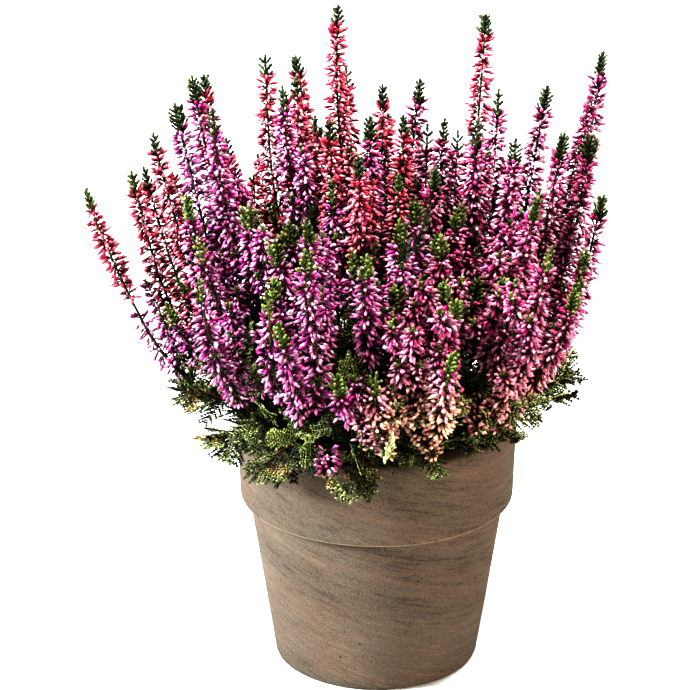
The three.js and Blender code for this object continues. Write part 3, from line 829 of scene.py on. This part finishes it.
def lower_twigs(growth, line, spike, start, end):
    """Leafy branchlets on the bare part of a flower stem, more of them on the outer stems."""
    draw = growth.draw
    count = int(round(mix(*LOW_TWIG.count, float(rise(rho_of(spike), *LOW_TWIG.outer)))))
    if spike.u > OPEN_SIDE.u and OPEN_SIDE.v[0] < spike.v < OPEN_SIDE.v[1]:
        count += OPEN_SIDE.more
    for k in range(count):
        mark = mix(start, end, (k + draw.uniform(0.1, 0.9)) / count)
        base, along = line.at(mark), line.along(mark)
        out = around(along, k * LOW_TWIG.turn + draw.uniform(-0.4, 0.4))
        reach = draw.uniform(*LOW_TWIG.reach)
        twig, way = side_twig(base, out, along, reach, LOW_TWIG, draw.uniform(*LOW_TWIG.sag))
        tone = mix(LEAF.mid, LEAF.light, draw.uniform(-0.1, 0.35))
        growth.twigs.append((twig.points, 0.5, 0.25, mix(WOOD.young, tone, 0.3)))
        plane = np.cross(unit(outward_of(spike) + draw.normal(0, 0.4, 3)), way)
        growth.sprig(twig, tone, draw.uniform(*LOW_TWIG.branchlets), plane)


THICKET = Named(
    inside=0.8, count_inside=6, count=2, turn=2.4, out=(9, 15), up=(14, 26), bend=5,
    leafy=(2, 28), leaf_step=2.4, leaf=(4.8, 2.7),
)


def thicket(growth, line, start, end, spike, tone):
    """Old twigs among the stems, more of them in the middle of the plant; their dark colour is partly age and
    partly painted shade among the stems.
    """
    draw = growth.draw
    for k in range(THICKET.count_inside if rho_of(spike) < THICKET.inside else THICKET.count):
        base = line.at(mix(start, end, draw.uniform(0.25, 1.25)))
        out = level_way(k * THICKET.turn + draw.uniform(-0.5, 0.5)) * draw.uniform(*THICKET.out)
        tip = base + out + UP * draw.uniform(*THICKET.up)
        twig = bent(base, base + out * 0.7 + UP * THICKET.bend, tip, 6)
        growth.stem_leaves(twig, *THICKET.leafy, THICKET.leaf_step, *THICKET.leaf, tone, 0.9, 0.9)
        growth.cores.append((base, base + out * 0.75 + UP * 8, 0.5, tone))
        growth.cores.append((base + out * 0.6 + UP * 6, tip, 0.4, tone))


MID = Named(
    u=(0.02, 0.75), v=(-0.8, 0.05), count=4, height=(160, 216), bearing=(-2.4, -0.7),
    reach=(12, 19), bend=4, up=(12, 24),
)
LOW = (
    Named(u=(-0.16, 0.24), count=5, height=(146, 168), to=90, up=(-12, 4)),
    Named(u=(0.45, 0.9), count=3, height=(142, 154), to=84, up=(-8, 4)),
)
LOW_REACH = Named(before=-0.35, aside=0.9, reach=(16, 34), least=6.0, bend=9)
SHOOT_POINTS = 14


def mid_laterals(spike, line, draw):
    """Flowering side shoots between the pink stems, which close the mass on the right."""
    (left, right), (front, back) = MID.u, MID.v
    if spike.kind != "pink" or not (left < spike.u < right and front < spike.v < back):
        return
    for _ in range(MID.count):
        base = line.at(line.mark_at_height(draw.uniform(*MID.height)))
        out = level_way(draw.uniform(*MID.bearing))
        reach = draw.uniform(*MID.reach)
        middle = base + out * reach * 0.8 + UP * MID.bend
        yield bent(base, middle, base + out * reach + UP * draw.uniform(*MID.up), SHOOT_POINTS)


def low_laterals(spike, line, draw):
    """Short flowering side shoots low in front and on the right, which hang out over the rim."""
    place = next((p for p in LOW if p.u[0] < spike.u < p.u[1]), None)
    if spike.kind == "red" or spike.v > LOW_REACH.before or place is None:
        return
    for _ in range(place.count):
        base = line.at(line.mark_at_height(draw.uniform(*place.height)))
        outward = outward_of(spike)
        across = np.array([-outward[1], outward[0], 0.0])
        out = unit(outward + across * draw.uniform(-LOW_REACH.aside, LOW_REACH.aside))
        room = max(LOW_REACH.least, place.to - float(np.hypot(base[0], base[1])))
        reach = min(draw.uniform(*LOW_REACH.reach), room)
        middle = base + out * reach * 0.5 + UP * LOW_REACH.bend
        yield bent(base, middle, base + out * reach + UP * draw.uniform(*place.up), SHOOT_POINTS)


# ---- materials

MIX_SOCKETS = Named(factor=0, a=6, b=7, result=2)  # the mix node's colour sockets


class Nodes:
    """The nodes of a material or of the world, made and linked by short calls."""

    def __init__(self, owner, place="Object"):
        owner.use_nodes = True
        self.owner = owner
        self.tree = owner.node_tree
        self.shader = self.tree.nodes.get("Principled BSDF")
        self.place = self.tree.nodes.new("ShaderNodeTexCoord").outputs[place]

    def put(self, node, values):
        """Sets or links inputs of a node."""
        for name, value in values.items():
            if isinstance(value, bpy.types.NodeSocket):
                self.tree.links.new(value, node.inputs[name])
            else:
                node.inputs[name].default_value = value

    def add(self, kind, values, **settings):
        made = configured(self.tree.nodes.new(kind), **settings)
        self.put(made, values)
        return made

    def noise(self, vector, scale, detail=4.0, roughness=0.6):
        values = {"Scale": scale, "Detail": detail, "Roughness": roughness, "Vector": vector}
        return self.add("ShaderNodeTexNoise", values).outputs["Fac"]

    def ramp(self, source, low, high, out_low=0.0, out_high=1.0):
        values = {"Value": source, "From Min": low, "From Max": high, "To Min": out_low, "To Max": out_high}
        return self.add("ShaderNodeMapRange", values).outputs["Result"]

    def blend(self, factor, a, b):
        values = {MIX_SOCKETS.factor: factor, MIX_SOCKETS.a: a, MIX_SOCKETS.b: b}
        return self.add("ShaderNodeMix", values, data_type="RGBA").outputs[MIX_SOCKETS.result]

    def bump(self, height, strength, distance, before=None):
        values = {"Strength": strength, "Distance": distance, "Height": height}
        if before is not None:
            values["Normal"] = before
        return self.add("ShaderNodeBump", values).outputs["Normal"]

    def math(self, operation, a, b):
        return self.add("ShaderNodeMath", {0: a, 1: b}, operation=operation).outputs[0]

    def between(self, value, low, high, soft):
        """A mask that is one where the value lies between two bounds."""
        up = self.ramp(value, low - soft, low + soft)
        down = self.ramp(value, high - soft, high + soft, 1.0, 0.0)
        return self.math("MULTIPLY", up, down)


def paint(r, g, b):
    """An sRGB colour in bytes as the value of a colour socket."""
    return (*colour(r, g, b).tolist(), 1.0)


def plant_material(name, scale, spread, rough, bump_distance, specular):
    """A surface whose colour comes from the mesh's tints, mottled finely, with its own grain."""
    nodes = Nodes(bpy.data.materials.new(name))
    tint = nodes.add("ShaderNodeAttribute", {}, attribute_name="tint").outputs["Color"]
    fine = nodes.noise(nodes.place, scale, 5.0, 0.65)
    shade = nodes.ramp(fine, 0.3, 0.7, 1 - spread, 1 + spread)
    mottled = nodes.add("ShaderNodeVectorMath", {}, operation="SCALE")
    nodes.put(mottled, {0: tint, "Scale": shade})
    nodes.put(nodes.shader, {
        "Base Color": mottled.outputs[0], "Roughness": nodes.ramp(fine, 0.3, 0.7, rough - 0.1, rough + 0.12),
        "Normal": nodes.bump(fine, 0.6, bump_distance), "Specular IOR Level": specular,
    })
    return nodes.owner


PETAL = {kind: plant_material(f"{kind} petals", 900.0, 0.14, 0.4, 0.0002, 0.2) for kind in KINDS}
LEAVES = plant_material("scale leaves", 700.0, 0.22, 0.5, 0.0002, 0.15)
BARK = plant_material("heather bark", 1100.0, 0.35, 0.75, 0.0004, 0.1)
LAYERS = Named(tilt=0.31, along=0.11)  # the clay's marbled layers tip down to the right and are long and thin
LIT_BAND_EDGE = (0.0875, 0.0884, 0.0003)  # a painted highlight along the band's foot: from, to and softness in metres above the floor
PITTED_RIM = (0.1262, 0.1284, 0.0005)
CLAY = Named(
    brown=paint(78, 63, 53), grey=paint(75, 68, 60), dust=paint(110, 94, 79), belt=paint(62, 57, 48),
    line=paint(34, 30, 25), sand=paint(114, 97, 81), speck=paint(48, 38, 31),
    worn=paint(138, 118, 97), pit=paint(34, 26, 20),
)


def clay_material():
    """Marbled clay: brown with thin grey layers that tip to the right, sand, pits and a painted highlight
    along the band's lower edge.
    """
    nodes = Nodes(bpy.data.materials.new("marbled clay"))
    ramp, blend, noise, place = nodes.ramp, nodes.blend, nodes.noise, nodes.place
    tipped = nodes.add("ShaderNodeMapping", {"Rotation": (0.0, -LAYERS.tilt, 0.0), "Vector": place})
    flat = {"Scale": (LAYERS.along, LAYERS.along, 1.0), "Vector": tipped.outputs[0]}
    layers = nodes.add("ShaderNodeMapping", flat).outputs[0]
    broad = noise(layers, 42.0, 4.0, 0.55)
    patch = noise(place, 22.0, 3.0, 0.5)
    thin = noise(layers, 430.0, 12.0, 0.78)
    grain = noise(place, 1500.0, 4.0, 0.8)
    base = blend(ramp(patch, 0.35, 0.65), CLAY.brown, CLAY.grey)
    dusty = blend(ramp(thin, 0.5, 0.36, 0.0, 0.5), base, CLAY.dust)
    belted = blend(ramp(broad, 0.47, 0.62, 0.0, 0.8), dusty, CLAY.belt)
    line = nodes.math("MULTIPLY", ramp(thin, 0.52, 0.60), ramp(broad, 0.44, 0.58, 0.1, 1.0))
    lined = blend(line, belted, CLAY.line)
    sandy = blend(ramp(grain, 0.4, 0.62), CLAY.sand, CLAY.speck)
    sand = blend(0.34, lined, sandy)
    height = nodes.add("ShaderNodeSeparateXYZ", {0: place}).outputs["Z"]
    # painted highlight: a pale line, in patches, where the band's rounded foot catches the light
    worn = nodes.math("MULTIPLY", nodes.between(height, *LIT_BAND_EDGE), ramp(patch, 0.3, 0.6, 0.2, 0.7))
    with_edge_highlight = blend(worn, sand, CLAY.worn)
    # the pits are painted dark inside, as shade in the hollows, and sunk by the bump
    pits = nodes.add("ShaderNodeTexVoronoi", {"Scale": 330.0, "Vector": place}).outputs["Distance"]
    speck = noise(place, 310.0, 2.0, 0.5)
    many = nodes.math("MULTIPLY", nodes.between(height, *PITTED_RIM), ramp(speck, 0.44, 0.50))
    either = nodes.math("MAXIMUM", ramp(speck, 0.66, 0.69), many)
    deep = nodes.math("MULTIPLY", ramp(pits, 0.14, 0.26, 1.0, 0.0), either)
    rough = nodes.bump(grain, 0.8, 0.0010)
    lines = nodes.bump(thin, 0.35, 0.0008, rough)
    nodes.put(nodes.shader, {
        "Base Color": blend(deep, with_edge_highlight, CLAY.pit), "Roughness": ramp(grain, 0.3, 0.7, 0.75, 0.97),
        "Specular IOR Level": 0.2, "Normal": nodes.bump(ramp(deep, 0, 1, 1.0, 0.0), 0.8, 0.0009, lines),
    })
    return nodes.owner


def soil_material():
    nodes = Nodes(bpy.data.materials.new("potting soil"))
    crumb = nodes.noise(nodes.place, 380.0, 8.0, 0.75)
    clod = nodes.noise(nodes.place, 90.0, 4.0, 0.6)
    dark = nodes.blend(nodes.ramp(crumb, 0.4, 0.68), paint(22, 16, 12), paint(64, 48, 36))
    nodes.put(nodes.shader, {
        "Base Color": nodes.blend(nodes.ramp(clod, 0.45, 0.7, 0.0, 0.6), dark, paint(40, 30, 22)),
        "Roughness": nodes.ramp(crumb, 0.3, 0.7, 0.8, 1.0), "Normal": nodes.bump(crumb, 0.9, 0.002),
    })
    return nodes.owner


# ---- pot and soil

POT = Named(
    height=130, rim=70, band_foot=87.5, band_foot_radius=68.9, body=64.6, base=51.8,
    mouth=58.5, floor_radius=43.5, floor=9, drain=8, edge=2.6, band_edge=1.3, sides=168,
)
SKIN = Named(sunk=0.18, outside=50, above=1)  # where the clay's skin waves, a little inside the solid's
SOIL = Named(below_top=1.5, from_wall=0.6, from_floor=0.4, heart=1.2, foot=2, dome=3, sides=120)


def arc(cx, cz, radius, a, b, steps):
    angle = np.radians(np.linspace(a, b, steps + 1))
    return np.stack([cx + radius * np.cos(angle), cz + radius * np.sin(angle)], 1)


def straight(a, b, steps):
    t = np.linspace(0, 1, steps + 2)[1:-1, None]
    return np.array(a) * (1 - t) + np.array(b) * t


def turned(name, profile, sides, closed, relief, made_of):
    """A smooth turned piece; relief moves its skin a little in or out."""
    profile = np.asarray(profile, float)
    rows = len(profile)
    angle = np.linspace(0, 2 * math.pi, sides, endpoint=False)
    a = np.repeat(angle[None, :], rows, 0)
    r, z = relief(*(np.repeat(profile[:, k][:, None], sides, 1) for k in (0, 1)), a)
    points = np.stack([r * np.cos(a), r * np.sin(a), z], -1).reshape(-1, 3)
    bands = [band(i * sides, (i + 1) % rows * sides, sides) for i in range(rows if closed else rows - 1)]
    lower, upper = zip(*bands)
    bulk = Bulk()
    bulk.add(points, np.vstack(lower + upper), np.full(3, 0.5))
    if not closed:
        caps = np.array([[0, 0, profile[0, 1]], [0, 0, profile[-1, 1]]])
        first = -len(points)
        faces = [cap(first, 0, sides, True), cap(first + (rows - 1) * sides, 1, sides)]
        bulk.add(caps, np.vstack(faces), np.full(3, 0.5))
    return bulk.make(name, [made_of])


def pot_piece():
    edge, small = POT.edge, POT.band_edge
    inner_low = (POT.floor_radius, POT.floor)
    inner_high = (POT.mouth, POT.height - edge)
    body_top = (POT.body, POT.band_foot - 0.1)
    band_low = (POT.band_foot_radius, POT.band_foot + small)
    band_high = (POT.rim, POT.height - edge)
    drain_low, drain_high = (POT.drain, 0), (POT.drain, POT.floor)
    profile = np.vstack([
        [drain_low], straight(drain_low, (POT.base - edge, 0), 4),
        arc(POT.base - edge, edge, edge, -90, 0, 6),
        straight((POT.base, edge), body_top, 34), [body_top],
        arc(POT.band_foot_radius - small, POT.band_foot + small, small, -90, 0, 5),
        straight(band_low, band_high, 16), arc(POT.rim - edge, POT.height - edge, edge, 0, 90, 7),
        arc(POT.mouth + edge, POT.height - edge, edge, 90, 180, 6),
        straight(inner_high, inner_low, 14), [inner_low], straight(inner_low, drain_high, 4), [drain_high],
    ])

    def relief(r, z, a):
        wave = 0.08 * np.sin(3 * a + 0.05 * z) + 0.04 * np.sin(0.9 * z + 2 * a)
        outer = (r > SKIN.outside) & (z > SKIN.above)
        return np.where(outer, np.minimum(r - SKIN.sunk + wave, POT.rim), r), z

    return turned("clay_pot", profile, POT.sides, True, relief, clay_material())


def soil_piece():
    def wall(z):
        share = (z - POT.floor) / (POT.height - POT.floor)
        return mix(POT.floor_radius, POT.mouth, share) - SOIL.from_wall

    top = SOIL_TOP - SOIL.below_top
    foot = POT.floor + SOIL.from_floor
    side = wall(top)
    heart = (SOIL.heart, top)
    profile = np.vstack([[(SOIL.foot, foot)], [(wall(foot), foot)], [(side, top)],
                         straight((side, top), heart, 26), [heart]])

    def relief(r, z, a):
        x, y = r * np.cos(a), r * np.sin(a)
        share = r / side
        crumbs = (0.9 * np.sin(x / 3.1 + 1) * np.cos(y / 2.7) + 0.6 * np.sin(x / 1.3 + 2 * np.sin(y / 1.9))
                  + 0.5 * np.cos(y / 1.1 + 2 * np.cos(x / 1.7)))
        on_top = (z > top - 0.01) & (share < 0.999)
        return r, np.where(on_top, SOIL_TOP + SOIL.dome * (1 - share ** 2) + crumbs, z)

    return turned("potting_soil", profile, SOIL.sides, False, relief, soil_material())


# ---- the whole plant

SPARSE_BEYOND = 1.12  # share of the slice's radius, where a red spike has few flowers
LONE = Named(upper=0.42, lower=0.34)  # how far up its young flowers start and its old flowers end
TALL = 310  # a spike above this has no side branches
BRANCHES = {  # bare share, bare end, size, density, the tip's length and scale, the twig's radii
    "side": (0.2, 5.0, 0.85, 1.0, (5.0, 0.62), (0.6, 0.3)),
    "hanging": (0.76, 1.0, 0.9, 1.0, (4.0, 0.5), (0.6, 0.3)),
    "mid": (0.3, 4.0, 0.85, 1.0, (5.0, 0.6), (0.5, 0.3)),
    "low": (0.3, 3.0, 0.85, 0.85, (5.0, 0.55), (0.5, 0.3)),
}
HANGING = Named(
    near=Named(u=-0.3, v=-0.92), height=134, over=(-24, -82, 157), tip=(-25, -85, 134),
    sprig_by=(-24, -88, 124), sprig_tip=(-13, -85, 120),
)
STEM = Named(leafy_from=121.0, leaf_step=1.9, leaf=(5.0, 1.8), points=30, radii=(1.7, 1.2, 0.55), sides=5)
SWAY = Named(size=2.2, waves=7.0)


def finish_piece(piece, slot, *nodes):
    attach(piece, "root")
    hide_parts(*nodes)


def is_lone(spike):
    return spike.kind == "red" and rho_of(spike) > SPARSE_BEYOND


def branches_of(spike):
    """How far down and up each side branch stands, as shares of the flowering part."""
    if is_lone(spike):
        return ((0.0, 0.05, 0.28, 0.36), (0.0, 0.2, 0.38, 0.5))
    if spike.top > TALL:
        return ()
    high, low = (0.0, 0.35, 0.55, 0.85), (0.0, 0.15, 0.35, 0.6)
    return (high, low) if rho_of(spike) < 0.9 else (low,)


def swayed(line, draw):
    """The same line with a slight wave in its upper half."""
    share = line.marks / line.length
    turn, phase = draw.uniform(0, 2 * math.pi, 2)
    size = SWAY.size * rise(share, 0.35, 0.3) * np.sin(phase + SWAY.waves * share)
    return Line(line.points + size[:, None] * level_way(turn))


def grow_branch(growth, branch, form, kind, tone, wood, inside=0.0, times=1):
    """A small flowering branch with its green tip."""
    bare, stop, size, density, tip, radii = BRANCHES[form]
    for _ in range(times):
        flower(growth, branch, kind, branch.length * bare, stop, size, density, inside)
    green_tip(growth, branch, *tip, tone)
    growth.twigs.append((branch.points, *radii, wood))


def grow_spike(growth, spray, index):
    """One flower spike with its stem, leaves and branches."""
    draw, spike = growth.draw, spray.spikes[index]
    kind, young_wood = spike.kind, WOOD.young
    line = swayed(stem_line(spray, index), draw)
    start = line.mark_at_height(bloom_foot(spike)) + KINDS[kind].bare
    tip = KINDS[kind].tip
    tone = leaf_tone(spike, draw)
    inside = 1 - float(rise(rho_of(spike), 0.5, 0.35))
    if is_lone(spike):
        flower(growth, line, kind, mix(start, line.length, LONE.upper), tip * 0.9, 1.0, 0.8, fresh=1.0)
        flower(growth, line, "purple", start, line.length - mix(start, line.length, LONE.lower), 0.95, 0.8)
    else:
        flower(growth, line, kind, start, tip * 0.9, inside=inside)
    big = draw.uniform(0.78, 1.2)
    few = kind == "red" or big < 0.9
    green_tip(growth, line, tip, KINDS[kind].tip_size * big, tone, 6 if few else 10)
    low = line.mark_at_height(STEM.leafy_from)
    # old leaves and twigs low among the stems: a darkened tone, partly age and partly painted shade
    old = mix(LEAF.dark, WOOD.old, draw.uniform(0.1, 0.7)) * 0.6
    growth.stem_leaves(line, low, start + 3, STEM.leaf_step, *STEM.leaf, old, 0.95, 0.9)
    thicket(growth, line, low, start, spike, old)
    lower_twigs(growth, line, spike, low, start + 6)
    marks = np.linspace(0, line.length - 1, STEM.points)[::2]
    share = marks / line.length
    leader, fork, end = STEM.radii
    radius = mix(leader if index == 0 else fork, end, smooth(share / 0.8))
    tints = mix(WOOD.old, mix(young_wood, tone, 0.5), rise(share, 0.25, 0.6)[:, None])
    tube(growth.wood, line.at(marks), radius, tints, STEM.sides)
    for reach in branches_of(spike):
        branch = side_branch(line, start, spike, reach, draw)
        tinge = "purple" if kind == "red" and spike.u < -0.8 and reach[3] < 0.55 else kind
        tip_tone, wood = mix(LEAF.dark, tone, 0.5), mix(young_wood, tone, 0.4)
        grow_branch(growth, branch, "side", tinge, tip_tone, wood, inside)
    if spike.hangs:
        foot = line.at(line.mark_at_height(HANGING.height))
        branch = bent(foot, HANGING.over, HANGING.tip, SHOOT_POINTS)
        grow_branch(growth, branch, "hanging", kind, LEAF.light, young_wood, times=2)
        twig = bent(branch.at(branch.length * 0.7), HANGING.sprig_by, HANGING.sprig_tip, 8)
        growth.sprig(twig, LEAF.mid, 6.0, np.array([0.5, 0.2, 0.8]), 3.4)
        growth.twigs.append((twig.points, 0.4, 0.2, young_wood))
    for branch in list(mid_laterals(spike, line, draw)):
        grow_branch(growth, branch, "mid", kind, tone, young_wood)
    for branch in list(low_laterals(spike, line, draw)):
        grow_branch(growth, branch, "low", kind, LEAF.mid * 0.75, young_wood)


def build_spray(spray, name, seed):
    growth = Growth(seed)
    for index in range(len(spray.spikes)):
        grow_spike(growth, spray, index)
    growth.pour()
    kind = spray.kind
    finish_piece(growth.blooms.make(f"{name}_buds", [PETAL[kind]]), f"{kind}_heather", name)
    finish_piece(growth.wood.make(f"{name}_leaves", [LEAVES, BARK]), "foliage", name)


FERN = Named(
    reach=((270, 350, 7.5), (240, 270, 11.5), (0, 240, 17.0), (0, 360, 15.5)),  # between bearings
    start=20.0, end=4, least=6, close=(170, 270), close_step=4.0, step=5.6, lowest=138.5,
    left_to=250, middle=(0.45, 0.3), tip=(0.85, 0.6), radii=(0.42, 0.2), end_sprig=10, end_reach=7.0,
    stem=(1.5, 0.45), points=24,
)


def build_shoot(place, name, seed):
    """A low leafy shoot with fern-like side twigs, flat along it, every third of them turned back and painted
    dark as shade; the shoots on the left, where the key light falls most, are painted darker.
    """
    growth = Growth(seed)
    draw = growth.draw
    line = shoot_line(place)
    bearing = place[0]
    at_left = bearing < FERN.left_to
    # painted shade: the shoots on the left get a darker tone to hold back the key light that falls there
    tone = mix(LEAF.mid, LEAF.light, draw.uniform(-0.15, 0.15)) * (0.5 if at_left else 0.74)
    start, end = FERN.start, line.length - FERN.end
    full = next(reach for low, high, reach in FERN.reach if low < bearing < high)
    step = FERN.close_step if FERN.close[0] < bearing < FERN.close[1] else FERN.step
    count = max(FERN.least, int((end - start) / step))
    aside = level_way(math.radians(bearing + 90))
    for k in range(count):
        share = k / (count - 1)
        mark = mix(start, end, share)
        base, along = line.at(mark), line.along(mark)
        face = np.cross(along, aside)
        face = face if face[2] > 0 else -face
        reach = full * (0.6 + 0.4 * math.sin(math.pi * share)) * draw.uniform(0.75, 1.15)
        behind = k % 3 == 2
        for sign in (1, -1):
            turn = draw.normal(0, 0.3) - (0.7 if behind else 0.0)
            out = sign * aside * math.cos(turn) + face * math.sin(turn)
            twig, way = side_twig(base, out, along, reach, FERN)
            # painted shade: the twigs turned behind get a darker tone
            shade = growth.shades(tone, 1)[0] * (0.4 if behind else 1.0)
            points = twig.points[::3]
            tube(growth.wood, points, np.linspace(*FERN.radii, len(points)), WOOD.young)
            plane = np.cross(unit(face + draw.normal(0, 0.2, 3)), way)
            growth.sprig(twig, shade, 0.5 * full, plane, 3.5 if at_left else 4.1)
    last = Line(line.points[line.marks > end - FERN.end_sprig])
    growth.sprig(last, tone, FERN.end_reach, np.array([0.3, 0.2, 1.0]))
    marks = np.linspace(0, line.length - 0.5, FERN.points)
    tints = mix(WOOD.old, WOOD.young, smooth(marks / line.length)[:, None])
    tube(growth.wood, line.at(marks), np.linspace(*FERN.stem, FERN.points), tints, 6)
    growth.pour(FERN.lowest if full < 10 else None)
    finish_piece(growth.wood.make(f"{name}_leaves", [LEAVES, BARK]), "foliage", name)


SEEDS = Named(sprays=1000, shoots=2000)

finish_piece(pot_piece(), "clay", "pot")
finish_piece(soil_piece(), "soil", "soil")
sprays = group_sprays(plant_spikes())
purple = [spike for spray in sprays for spike in spray.spikes if spike.kind == "purple"]
nearest(HANGING.near, purple).hangs = True
for i, spray in enumerate(sprays):
    build_spray(spray, f"{spray.kind}_spray_{i + 1:02d}", SEEDS.sprays + i)
for i, place in enumerate(LEAFY):
    build_shoot(place, f"leafy_spray_{i + 1:02d}", SEEDS.shoots + i)

# ---- floor, light and camera, in metres

FLOOR = Named(half=2.2, steps=8, grey=(0.52, 0.52, 0.52, 1.0), lit_from=1.3, lit_to=2.0, glow=0.8)
LIGHTS = {  # where it stands, what it points at, its size, watts and colour
    "key": ((-2.4, -0.5, 1.3), (0, 0, 0.18), 1.1, 340, (0.86, 0.95, 1.0)),
    "top": ((-0.4, -0.5, 2.7), (0, 0, 0.2), 0.9, 112, (1.0, 0.95, 0.9)),
    "fill": ((1.9, -1.6, 1.0), (0, 0, 0.18), 0.9, 84, (1.0, 0.9, 0.79)),
    "floor": ((1.6, 1.4, 2.2), (0.7, 0.3, 0.0), 1.0, 100, (0.9, 0.96, 1.0)),
}
SKY = Named(white_to=0.0, dim_from=0.32, white=1.0, dim=0.03)
CAMERA = Named(lens=158.6, pitch=21.8, place=(-16, -1398, 725), sensor=36.0, clip=50.0)


def floor():
    """A pale floor that glows towards its edges, so that they fade into the white."""
    mesh = bpy.data.meshes.new("floor")
    row = FLOOR.steps + 1
    grid = np.linspace(-FLOOR.half, FLOOR.half, row)
    corners = [j * row + i for j in range(row - 1) for i in range(row - 1)]
    mesh.from_pydata([(x, y, 0.0) for y in grid for x in grid], [],
                     [(k, k + 1, k + row + 1, k + row) for k in corners])
    nodes = Nodes(bpy.data.materials.new("floor"))
    away = nodes.add("ShaderNodeVectorMath", {0: nodes.place}, operation="LENGTH").outputs["Value"]
    grain = nodes.noise(nodes.place, 60.0)
    nodes.put(nodes.shader, {
        "Base Color": FLOOR.grey, "Roughness": nodes.ramp(grain, 0.3, 0.7, 0.75, 0.85),
        "Emission Strength": nodes.ramp(away, FLOOR.lit_from, FLOOR.lit_to, 0.0, FLOOR.glow),
    })
    mesh.materials.append(nodes.owner)
    return place_object("floor", mesh)


def area_light(name, place, target, size, energy, color):
    lamp = place_object(name, configured(bpy.data.lights.new(name, "AREA"), shape="DISK", size=size,
                                         energy=energy, color=color))
    lamp.location = place
    lamp.rotation_euler = (Vector(target) - Vector(place)).to_track_quat("-Z", "Y").to_euler()


def sky():
    """White at the horizon and dim above, so that the lights make the shadows."""
    nodes = Nodes(bpy.data.worlds.new("studio"), "Generated")
    upward = nodes.add("ShaderNodeSeparateXYZ", {0: nodes.place}).outputs["Z"]
    glow = nodes.ramp(upward, SKY.white_to, SKY.dim_from, SKY.white, SKY.dim)
    nodes.put(nodes.tree.nodes["Background"], {"Color": (1.0, 1.0, 1.0, 1.0), "Strength": glow})
    return nodes.owner


def camera():
    lens = configured(bpy.data.cameras.new("camera"), lens=CAMERA.lens, sensor_width=CAMERA.sensor,
                      clip_end=CAMERA.clip)
    eye = place_object("camera", lens)
    eye.location = Vector(np.array(CAMERA.place) * MM + AXIS)
    eye.rotation_euler = (math.radians(90 - CAMERA.pitch), 0.0, 0.0)
    return eye


floor()
for name, light in LIGHTS.items():
    area_light(name, *light)
scene = bpy.context.scene
scene.world = sky()
scene.camera = camera()
scene.view_settings.view_transform = "Standard"
scene.view_settings.look = "Very High Contrast"
